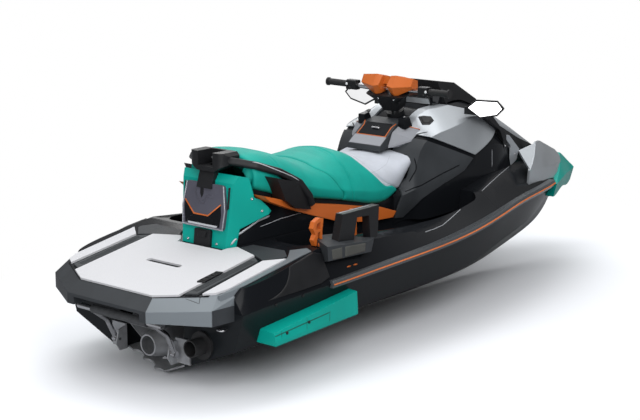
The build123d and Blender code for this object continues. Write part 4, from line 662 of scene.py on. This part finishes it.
def add_seats():
    """Three cushions on one seat form, the white one's sewn lines, and the stitching."""
    cushion("cushion_rear", AFT_END, [x - 0.0015 for x in REAR_SEAM], "teal_vinyl", "seat_rear",
            seams=((AFT_SEAM, 0.003, 0.0035),))
    cushion("cushion_middle", [x + 0.0015 for x in REAR_SEAM], [x - 0.001 for x in FRONT_SEAM], "teal_vinyl",
            "seat_front", seams=((SADDLE_SEAM, 0.005, 0.004),))
    cushion("cushion_front", [x + 0.001 for x in FRONT_SEAM], FORE_END, "light_vinyl", "seat_bolster", ease=80)
    for name, down, line in (
            ("seam_upper", (0, 0.51, -0.86), [(-0.0126, -0.1286, 0.512), (-0.111, -0.187, 0.492),
                                              (-0.206, -0.206, 0.4735), (-0.290, -0.2136, 0.469)]),
            ("seam_lower", (0, 1, 0), [(-0.2250, -0.2400, 0.418), (-0.1900, -0.2430, 0.404),
                                       (-0.1500, -0.2460, 0.394)])):
        add_strips(name, "thread_pale", ["cushion_front"], down, [(0.0022, 0.0010, line)])
    stitches("stitching_middle", SADDLE_SEAM, 0.011, "thread")
    stitches("stitching_rear", REAR_SEAM, -0.022, "thread")
    stitches("stitching_front", FRONT_SEAM, 0.022, "thread_pale")


# ---------------------------------------------------------------- tow housing
FACE_UP = Vector((0.038, 0.0, 0.322)).normalized()
FACE_OUT = Vector((-FACE_UP.z, 0.0, FACE_UP.x))
FACE_FOOT = Vector((-1.205, 0.0, 0.220))
PANEL_PROUD = 0.016


def on_face(across, up, proud=PANEL_PROUD):
    """Point of the housing's aft face: to port by across, up the face by up."""
    return FACE_FOOT + Vector((0, across, 0)) + FACE_UP * up + FACE_OUT * proud


def face_slab(outline, thick, proud=PANEL_PROUD, inset=0.001):
    """Plate on the housing's aft face from (across, up) corners."""
    return slab([on_face(*corner, proud) for corner in outline], FACE_OUT, thick, inset=inset)


def face_ribbon(line, width, height, proud=PANEL_PROUD):
    """Ribbon on the housing's aft face along (across, up) points."""
    return ribbon([on_face(*point, proud) for point in line], FACE_OUT, width, height)


def add_housing_details():
    """Insert, chevron, slot, ridges, clear rim, lip, black plates painted as the shade in the notches, screws and
    latch of the tow housing.
    """
    insert = [(0.117, 0.226), (0.058, 0.168), (-0.030, 0.168), (-0.104, 0.226), (-0.110, 0.180), (-0.104, 0.124),
              (0.108, 0.124), (0.118, 0.180)]
    quads = ((0, 1, 6, 7), (1, 2, 5, 6), (2, 3, 4, 5))
    add_piece("housing_insert", joined([face_slab([insert[i] for i in quad], 0.0012) for quad in quads]),
              "deck_black", smooth=False)
    add_piece("housing_chevron", face_ribbon(insert[:4], 0.0075, 0.0028), "orange")
    slot = [(0.026, 0.310), (0.008, 0.310), (0.006, 0.262), (0.016, 0.243), (0.027, 0.262)]
    add_piece("housing_slot", face_slab(slot, 0.0016, inset=0.0008), "black_plastic", smooth=False, edge=0.0005)
    ridge = [(0.060, 0.282), (0.030, 0.232), (0.002, 0.232), (-0.020, 0.262), (-0.056, 0.262)]
    add_piece("housing_ridges", joined([face_ribbon([(across, up - drop) for across, up in ridge], 0.004, 0.0015)
                                        for drop in (0, 0.013)]), "panel_grey")
    rim = [(0.112, 0.309), (0.130, 0.200), (0.123, 0.115), (-0.123, 0.115), (-0.130, 0.200), (-0.112, 0.309)]
    add_piece("housing_rim", face_ribbon(rim, 0.007, 0.005, PANEL_PROUD - 0.001), "clear")
    lip = [(0.092, 0.130), (-0.092, 0.130), (-0.088, 0.121), (0.088, 0.121)]
    add_piece("housing_lip", face_slab(lip, 0.004, inset=0.002), "pale_trim_and_highlight", smooth=False, edge=0.0012)
    outward, ahead = Vector((-0.53, -0.85, 0)).normalized(), Vector((0.848, -0.530, 0)).normalized()
    # black plate painted as the shade in the teal notch; its points: how far ahead of the wing's raked edge, and
    # their height
    notch_shade = [Vector((-1.1905 + 0.118 * (z - 0.41), -0.1330, z)) + ahead * far for far, z in
             ((0.002, 0.425), (0.028, 0.442), (0.037, 0.500), (0.024, 0.534), (0.002, 0.522))]
    add_piece("housing_notch_shade", mirrored(slab(notch_shade, outward, 0.0022, sink=0.002, inset=0.001)), "black_plastic",
              smooth=False)
    screws = [screw(on_face(across, 0.047, 0.0), FACE_OUT, 0.0065) for across in (0.098, -0.080)]
    wings = [screw(place, outward, 0.0062) for place in ((-1.0952, -0.1994, 0.4708), (-1.0567, -0.2234, 0.4136))]
    add_piece("housing_screws", joined(screws + [mirrored(joined(wings))]), "steel")
    latch = [(0.030, 0.098), (-0.030, 0.098), (-0.024, 0.068), (0.024, 0.068)]
    add_piece("latch_tab", face_slab(latch, 0.006, 0.014, 0.002), "black_plastic", smooth=False, edge=0.0012)


# ---------------------------------------------------------------- lines on the mouldings
INBOARD, FORWARD, DOWN = (0, 1, 0), (1, 0, 0), (0, 0, -1)       # inboard from starboard


def add_trim_lines():
    """Thin bright and dark lines laid on the mouldings; the bright lines on the gunwales, the cowl seam and the
    grab rail are painted highlights.
    """
    edge = [(-1.180, -1, 0.268), (-1.163, -1, 0.291), (-1.107, -1, 0.328), (-1.047, -1, 0.362), (-0.985, -1, 0.378)]
    fold = [(-1.040, -1, 0.334), (-0.930, -1, 0.356), (-0.800, -1, 0.3645)]
    add_strips("pedestal_edges", "pale_trim_and_highlight", ["seat_pedestal", "pylon_housing"], INBOARD,
               [(0.011, 0.002, edge), (0.004, 0.0015, fold)])
    # painted shade: the groove and the ribs across it on the sponsons are drawn as darker teal strips
    groove = [(-1.400, -1, -0.012), (-1.238, -1, 0.001), (-1.040, -1, 0.016)]
    ribs = [(0.004, 0.0012, [(x, -1, -0.030), (x + 0.012, -1, 0.026)]) for x in (-1.36, -1.20, -1.05)]
    add_strips("sponson_groove_shade", "teal_groove_shade", ["sponsons"], INBOARD, [(0.006, 0.0015, groove)] + ribs)
    flanks = ["front_cowl", "deck", "deck_panels", "footwell_trays", "knee_panels", "side_covers"]
    for name, look, width, height, lines in (
            # painted highlight: a pale strip where the cowl's seam catches the light
            ("cowl_seam_highlights", "pale_trim_and_highlight", 0.004, 0.0015,
             [[(0.586, -0.333, 0.488), (0.584, -0.3355, 0.439), (0.582, -0.338, 0.388)]]),
            # painted highlights: pale strips where the glossy gunwale creases catch the light
            ("gunwale_painted_highlights", "pale_trim_and_highlight", 0.0045, 0.0015,
             [[(-0.225, -0.507, 0.2137), (-0.144, -0.5006, 0.2132), (-0.059, -0.492, 0.217), (0.053, -0.466, 0.234),
               (0.156, -0.4455, 0.254)],
              [(0.372, -0.420, 0.308), (0.472, -0.402, 0.332), (0.612, -0.3684, 0.354), (0.784, -0.312, 0.3635)]]),
            ("knee_borders", "deck_black", 0.007, 0.002,
             [[(0.064, -0.1253, 0.5721), (0.0926, -0.160, 0.5924), (0.114, -0.206, 0.610), (0.148, -0.242, 0.6196)],
              [(0.045, -0.2345, 0.5013), (0.030, -0.257, 0.446), (-0.006, -0.246, 0.390)],
              [(-0.060, -0.258, 0.350), (0.044, -0.274, 0.365), (0.162, -0.309, 0.408), (0.289, -0.340, 0.444)]])):
        add_strips(name, look, flanks, (0.0, 0.80, -0.60), [(width, height, line) for line in lines])
    # painted highlight: a pale strip along the grab rail's top outer edge, where it catches the light
    rail = [(-1.082, -0.189, 0.634), (-1.049, -0.215, 0.622), (-1.009, -0.238, 0.602), (-0.968, -0.260, 0.580),
            (-0.917, -0.275, 0.556), (-0.878, -0.287, 0.530)]
    add_strips("rail_painted_highlight", "pale_trim_and_highlight", ["grab_rail"], (0.30, 0.70, -0.65), [(0.005, 0.0015, rail)])
    stern = ["stern_corner", "stern_bumper", "cleat_rails", "deck", "platform_mats"]
    corner = [(-1.668, -0.348, 2), (-1.640, -0.356, 2), (-1.632, -0.404, 2), (-1.654, -0.420, 2)]
    add_strips("corner_outline", "black_plastic", stern, DOWN, [(0.003, 0.001, corner + corner[:1])], both=False)


# ---------------------------------------------------------------- platform and stern
PLATFORM_LEAN = math.radians(9.6)
PLATFORM_UP = Vector((-math.sin(PLATFORM_LEAN), 0, math.cos(PLATFORM_LEAN)))
PLATFORM_X, PLATFORM_Z = -1.733, 0.159      # a point of the platform's plane


def plat(x, y, proud=0.0):
    """Point on the boarding platform's plane, raised by proud."""
    return Vector((x, y, PLATFORM_Z + (x - PLATFORM_X) * math.tan(PLATFORM_LEAN))) + PLATFORM_UP * proud


def add_platform_details():
    """Cleat block beside the starboard rail, mat channels, and screws of the hull and the exhaust."""
    outline = [(-1.546, -0.300), (-1.534, -0.336), (-1.418, -0.334), (-1.424, -0.301)]
    shapes = [slab([plat(x, y, 0.009) for x, y in outline], PLATFORM_UP, 0.007, inset=0.004)]
    tooth = ((0, -0.306), (0, -0.331), (0.012, -0.331), (0.012, -0.306))
    for x in (-1.528, -1.500, -1.472, -1.444):
        shapes.append(slab([plat(x + along, y, 0.016) for along, y in tooth], PLATFORM_UP, 0.003, inset=0.001))
    add_piece("mat_cleat", joined(shapes), "black_plastic", smooth=False, edge=0.001)
    ends = ((-1.655, 0.329), (-1.222, 0.325))
    add_piece("mat_channels", joined([ribbon([plat(x, side * y, 0.001) for x, y in ends], PLATFORM_UP, 0.008, 0.003)
                                      for side in (1, -1)]), "black_plastic")
    below = [((-1.338, -0.5585, 0.104), (-0.03, -0.95, -0.32)),
             ((-1.173, -0.565, 0.109), (-0.01, -0.94, -0.34)),
             ((-1.3236, -0.6062, -0.0121), (-0.01, -0.97, 0.24)),
             ((-1.1805, -0.6046, 0.0034), (-0.01, -0.98, 0.18))]
    add_piece("hull_screws", mirrored(joined([screw(place, normal, 0.007) for place, normal in below])),
              "black_plastic")
    low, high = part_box("exhaust_outlet")
    middle, reach = (Vector(low) + Vector(high)) / 2, 0.86 * (high[1] - low[1]) / 2
    studs = [screw((-1.538, middle.y + reach * math.cos(turn), middle.z + reach * math.sin(turn)), (-1, 0, 0))
             for turn in (math.radians(angle) for angle in (45, 135, 225, 315))]
    add_piece("exhaust_screws", joined(studs), "steel")


# ---------------------------------------------------------------- steering, dash and bow
def screws_on(names, starts, direction, radius=0.0055):
    """Screws where rays meet the named nodes."""
    return joined([screw(*on_surface(names, start, direction), radius) for start in starts])


def add_steering_details():
    """Switch buttons and shroud screws, which turn with the bar."""
    body = "steering_head"
    button = [(0.0075, -0.002), (0.0075, 0.002), (0.0062, 0.0042), (0.003, 0.0048)]
    bezel = [(0.0098, -0.002), (0.0098, 0.001), (0.0082, 0.002)]
    low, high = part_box("switch_housings")
    shapes = {"button_white": [], "button_red": [], "black_plastic": []}
    for side in (1, -1):
        for y, drop, look in ((0.252, 0.022, "button_white"), (0.236, 0.042, "black_plastic"),
                              (0.258, 0.044, "button_red" if side > 0 else "black_plastic")):
            spot = on_surface(["switch_housings"], (low[0] - 0.5, side * y, high[2] - drop), FORWARD)
            shapes["black_plastic"].append(turned(bezel, *spot, 18))
            shapes[look].append(turned(button, *spot, 18))
    for name, look in (("switch_buttons", "button_white"), ("stop_button", "button_red"),
                       ("switch_bezels", "black_plastic")):
        add_piece(name, joined(shapes[look]), look, body)
    screws = screws_on(["steering_shroud"], [(-1.0, y, 0.768) for y in (0.040, -0.058)], FORWARD)
    add_piece("shroud_screws", screws, "steel", body)


DASH_OUT = Vector((-0.594, 0.0, 0.804)).normalized()
DASH_UP = Vector((0.804, 0.0, 0.594)).normalized()
DASH_FOOT = Vector((-0.060, 0.0, 0.5562))


def on_dash(up, across, proud=0.0):
    """Point of the dash's slope behind the bar: up the slope by up, to port by across."""
    return DASH_FOOT + DASH_UP * up + Vector((0, across, 0)) + DASH_OUT * proud


def add_dash_details():
    """Tray, skirt and orange line on the dash's slope."""
    for name, look, low, high, foot, head in (("dash_tray", "deck_black", 0.072, 0.160, 0.086, 0.082),
                                              ("dash_skirt", "brushed", 0.004, 0.066, 0.100, 0.100)):
        corners = [on_dash(low, foot), on_dash(high, head), on_dash(high, -head), on_dash(low, -foot)]
        add_piece(name, slab(corners, DASH_OUT, 0.0016, inset=0.001), look, smooth=False, edge=0.0006)
    line = [(0.165, 0.099), (0.134, 0.0864), (0.069, 0.090)]
    line = [on_dash(up, across) for up, across in line] + [on_dash(up, -across) for up, across in reversed(line)]
    add_piece("dash_line", ribbon(line, DASH_OUT, 0.006, 0.0028), "orange")


def add_cover_details():
    """Cheeks beside the dash with their orange lines, and caps of the side covers."""
    inner = vectors((0.002, -0.1045, 0.5475), (0.034, -0.1045, 0.6141), (0.0986, -0.1045, 0.6466))
    outer = vectors((0.050, -0.1301, 0.5491), (0.0842, -0.1911, 0.5818), (0.1341, -0.2027, 0.6272))
    cheeks = []
    for k in range(2):
        for first, second, third in ((inner[k], inner[k + 1], outer[k + 1]), (inner[k], outer[k + 1], outer[k])):
            normal = (second - first).cross(third - first)
            normal = normal if normal.z > 0 else -normal
            cheeks.append(slab([first, second, third], normal, 0.002, sink=0.006))
    add_piece("dash_cheeks", mirrored(joined(cheeks)), "brushed", smooth=False)
    rim = [point + Vector((0, 0, 0.003)) for point in (inner[2], outer[2])]
    add_piece("cheek_lines", mirrored(ribbon(rim, (-0.30, -0.15, 0.94), 0.006, 0.003)), "orange")
    cap = vectors((0.1831, -0.1527, 0.682), (0.2045, -0.1655, 0.6868), (0.2330, -0.1976, 0.6812),
                  (0.2262, -0.2219, 0.6640), (0.1879, -0.2246, 0.6482), (0.1610, -0.1947, 0.6484))
    normal = Vector((-0.40, -0.44, 0.80)).normalized()
    centre = sum(cap, Vector()) / len(cap)
    flat = [point - normal * (point - centre).dot(normal) for point in cap]
    step = [point + normal * 0.0055 for point in scaled(flat, 0.72)]
    add_piece("cover_caps", mirrored(joined([slab(flat, normal, 0.0055, sink=0.004, inset=0.003),
                                             slab(step, normal, 0.003, inset=0.003)])),
              "black_plastic", smooth=False, edge=0.0008)


def add_instrument_details():
    """Pods with bright rings, the dash's latch, and the display's face."""
    pod = ((-0.030, -0.028, 0), (0.030, -0.028, 0.012), (0.036, 0.022, 0.012), (-0.022, 0.030, 0))
    ring = [(0.013, 0.0), (0.0145, 0.003), (0.012, 0.005), (0.010, 0.0035)]
    pods, brightwork = [], []
    for y in (0.128, -0.128):
        corners = [Vector((0.105, y, 0.640)) + Vector(corner) for corner in pod]
        pods.append(slab(corners, (-0.25, 0, 1), 0.042, sink=0.010, inset=0.010))
        brightwork.append(turned(ring, (0.100, y, 0.681), (-0.45, 0, 0.9), 24))
    add_piece("dash_pods", joined(pods), "deck_black", smooth=False, edge=0.004, segments=3)
    post = [(0.006, -0.001), (0.006, 0.004), (0.0045, 0.008)]
    brightwork += [turned(post, on_dash(0.118, across, 0.001), DASH_OUT, 18) for across in (-0.021, 0.021)]
    # a round bar of twelve runs, its ends drawn in
    bar = [(0.0045 * (0.7 if i in (0, 12) else 1.0), 0.004 * i) for i in range(13)]
    brightwork.append(turned(bar, on_dash(0.118, -0.024, 0.007), (0, 1, 0), 12))
    add_piece("dash_brightwork", joined(brightwork), "steel", edge=0.001)
    hits = [on_surface(["display"], (-1.0, y, z), FORWARD)
            for y, z in ((0.112, 0.722), (0.106, 0.756), (-0.106, 0.756), (-0.112, 0.722))]
    corners, out = [place for place, _ in hits], hits[-1][1]
    add_piece("display_screen", slab(corners, out, 0.002, inset=0.001), "lit_screen", smooth=False, edge=0.0006)
    add_piece("display_bezel", ribbon(corners + corners[:1], out, 0.007, 0.004), "black_plastic")


def add_bow_details():
    """Bolts of the mirror stays and rims of the mirrors."""
    starts = [(0.738, -1.0, 0.480), (0.850, -1.0, 0.420)]
    add_piece("stay_bolts", mirrored(screws_on(["mirror_stays", "stay_brackets"], starts, INBOARD)), "steel")
    outline = [(0.285, 0.717), (0.342, 0.760), (0.477, 0.766), (0.512, 0.730), (0.474, 0.694), (0.371, 0.671)]
    rim = scaled([Vector((0.4145, -y, z)) for y, z in outline], 0.955)
    add_piece("mirror_rims", mirrored(ribbon(rim + rim[:1], (-1, 0, 0), 0.010, 0.0045)), "black_plastic")


def add_rack_details():
    """Bright edge over the rack, plates and a strip on its base, and slots below it, all on starboard."""
    top = [(x, -0.500, 2) for x in (-0.862, -0.780, -0.690, -0.640)]
    add_strips("rack_edge", "pale_trim_and_highlight", ["rack_upright"], DOWN, [(0.005, 0.002, top)], both=False)
    strip = [(-0.984, -0.489, z) for z in (0.297, 0.262, 0.232)]
    add_strips("rack_strip", "orange", ["rack_base"], (0.91, -0.41, 0), [(0.014, 0.004, strip)], both=False)
    aft = [(-0.992, -1, 0.280), (-0.922, -1, 0.278), (-0.920, -1, 0.230), (-0.986, -1, 0.234)]
    fore = [(-0.900, -1, 0.277), (-0.756, -1, 0.268), (-0.760, -1, 0.230), (-0.900, -1, 0.230)]
    for name, corners in (("rack_plate_aft", aft), ("rack_plate_fore", fore)):
        add_piece(name, laid_sheet(["rack_base"], corners, INBOARD, 0.0025), "rack_plate")
    slots = [(0.008, 0.003, [(x, -1, 0.176), (x + 0.030, -1, 0.1755)]) for x in (-0.866, -0.820)]
    add_strips("rack_slots", "orange", ["footwell_trays", "rub_rails", "deck"], INBOARD, slots, both=False)


# ---------------------------------------------------------------- camera, floor and light
SENSOR, LENS = 36.0, 85.15
CAMERA_PLACE, CAMERA_YAW, CAMERA_PITCH = (-5.8782, -4.664, 1.8392), math.radians(40.40), math.radians(12.241)
FLOOR_HALF, FLOOR_GAP = 60.0, 0.004
FLOOR_UNSEEN, FLOOR_SEEN = (0.34, 0.35, 0.37), (0.93, 0.95, 0.99)       # to other rays, and to the camera
SHADOW_HALF = (2.7, 1.7)            # half length and width of the oval of floor that keeps its shadow
SHADOW_FADE = (0.75, 1.15)          # shares of that oval between which the shadow fades out
HORIZON, OVERHEAD = 0.12, 1.0       # the surroundings' strength
HORIZON_Z, OVERHEAD_Z = 0.2, 0.85   # the height in a direction up to and from which these hold
WHITE = (1, 1, 1, 1)


def add_camera():
    """Camera astern of the starboard quarter, at the photograph's viewing angle."""
    data = bpy.data.cameras.new("camera")
    data.sensor_width = SENSOR
    data.lens = LENS
    camera = bpy.data.objects.new("camera", data)
    bpy.context.scene.collection.objects.link(camera)
    camera.location = CAMERA_PLACE
    flat = math.cos(CAMERA_PITCH)
    look = Vector((math.cos(CAMERA_YAW) * flat, math.sin(CAMERA_YAW) * flat, -math.sin(CAMERA_PITCH)))
    camera.rotation_euler = look.to_track_quat("-Z", "Y").to_euler()
    bpy.context.scene.camera = camera


def add_floor():
    """Large white floor under the keel: it keeps the shadow, and far from the craft the camera sees plain white."""
    height = cad_box[0][2] - FLOOR_GAP
    corners = [(x * FLOOR_HALF, y * FLOOR_HALF, height) for x, y in ((-1, -1), (1, -1), (1, 1), (-1, 1))]
    mesh = bpy.data.meshes.new("floor")
    mesh.from_pydata(corners, [], [(0, 1, 2, 3)])
    floor = bpy.data.objects.new("floor", mesh)
    bpy.context.scene.collection.objects.link(floor)
    look = Look("floor_white", Roughness=0.9)
    camera_ray = look.add("LightPath").outputs["Is Camera Ray"]
    look.feed(look.shader, Base_Color=look.tint(camera_ray, FLOOR_UNSEEN, FLOOR_SEEN))
    oval = look.coordinates((1 / SHADOW_HALF[0], 1 / SHADOW_HALF[1], 0.0))
    far = look.add("VectorMath", operation="LENGTH", Vector=oval).outputs["Value"]
    plain = look.combine("MULTIPLY", look.spread(far, 0.0, 1.0, *SHADOW_FADE, "SMOOTHSTEP"), camera_ray)
    mix = look.add("MixShader", Fac=plain)
    look.link(look.shader.outputs["BSDF"], mix.inputs[1])
    look.link(look.add("Emission", Strength=1.0).outputs["Emission"], mix.inputs[2])
    look.feed(look.tree.nodes["Material Output"], Surface=mix.outputs["Shader"])
    mesh.materials.append(look.material)


def add_light(name, size, energy, location, target=(0, 0, 0.1)):
    """Area light aimed at a point."""
    data = bpy.data.lights.new(name, "AREA")
    data.shape = "RECTANGLE"
    data.size, data.size_y = size
    data.energy = energy
    light = bpy.data.objects.new(name, data)
    light.location = location
    light.rotation_euler = (Vector(target) - Vector(location)).to_track_quat("-Z", "Y").to_euler()
    bpy.context.scene.collection.objects.link(light)


def add_world():
    """Studio surroundings: plain white to the camera, on the craft dim at the horizon and bright overhead."""
    world = bpy.data.worlds.new("studio")
    bpy.context.scene.world = world
    world.use_nodes = True
    graph = Graph(world.node_tree)
    path = graph.add("LightPath").outputs
    seen = graph.combine("MAXIMUM", path["Is Camera Ray"], path["Is Transmission Ray"])
    direction = graph.add("TexCoord").outputs["Generated"]
    height = graph.add("SeparateXYZ", Vector=direction).outputs["Z"]
    glow = graph.spread(height, HORIZON, OVERHEAD, HORIZON_Z, OVERHEAD_Z, "SMOOTHSTEP")
    graph.feed(graph.tree.nodes["Background"], Color=WHITE, Strength=graph.spread(seen, glow, 1.0, 0.0, 1.0))


bpy.context.scene.view_settings.view_transform = "Standard"
add_camera()
add_floor()
add_world()
add_light("key", (3.5, 3.0), 150, (-3.2, -4.6, 3.6))
add_light("overhead", (4.5, 2.5), 75, (0.3, 0.6, 4.6))
add_light("rim", (3.0, 2.0), 40, (3.0, 3.0, 2.5))
add_light("fill", (2.5, 1.2), 55, (-5.2, -1.6, 1.3), (-1.3, -0.1, 0.1))
dress_cad_nodes()
add_seats()
add_housing_details()
add_trim_lines()
add_platform_details()
add_steering_details()
add_dash_details()
add_cover_details()
add_instrument_details()
add_bow_details()
add_rack_details()
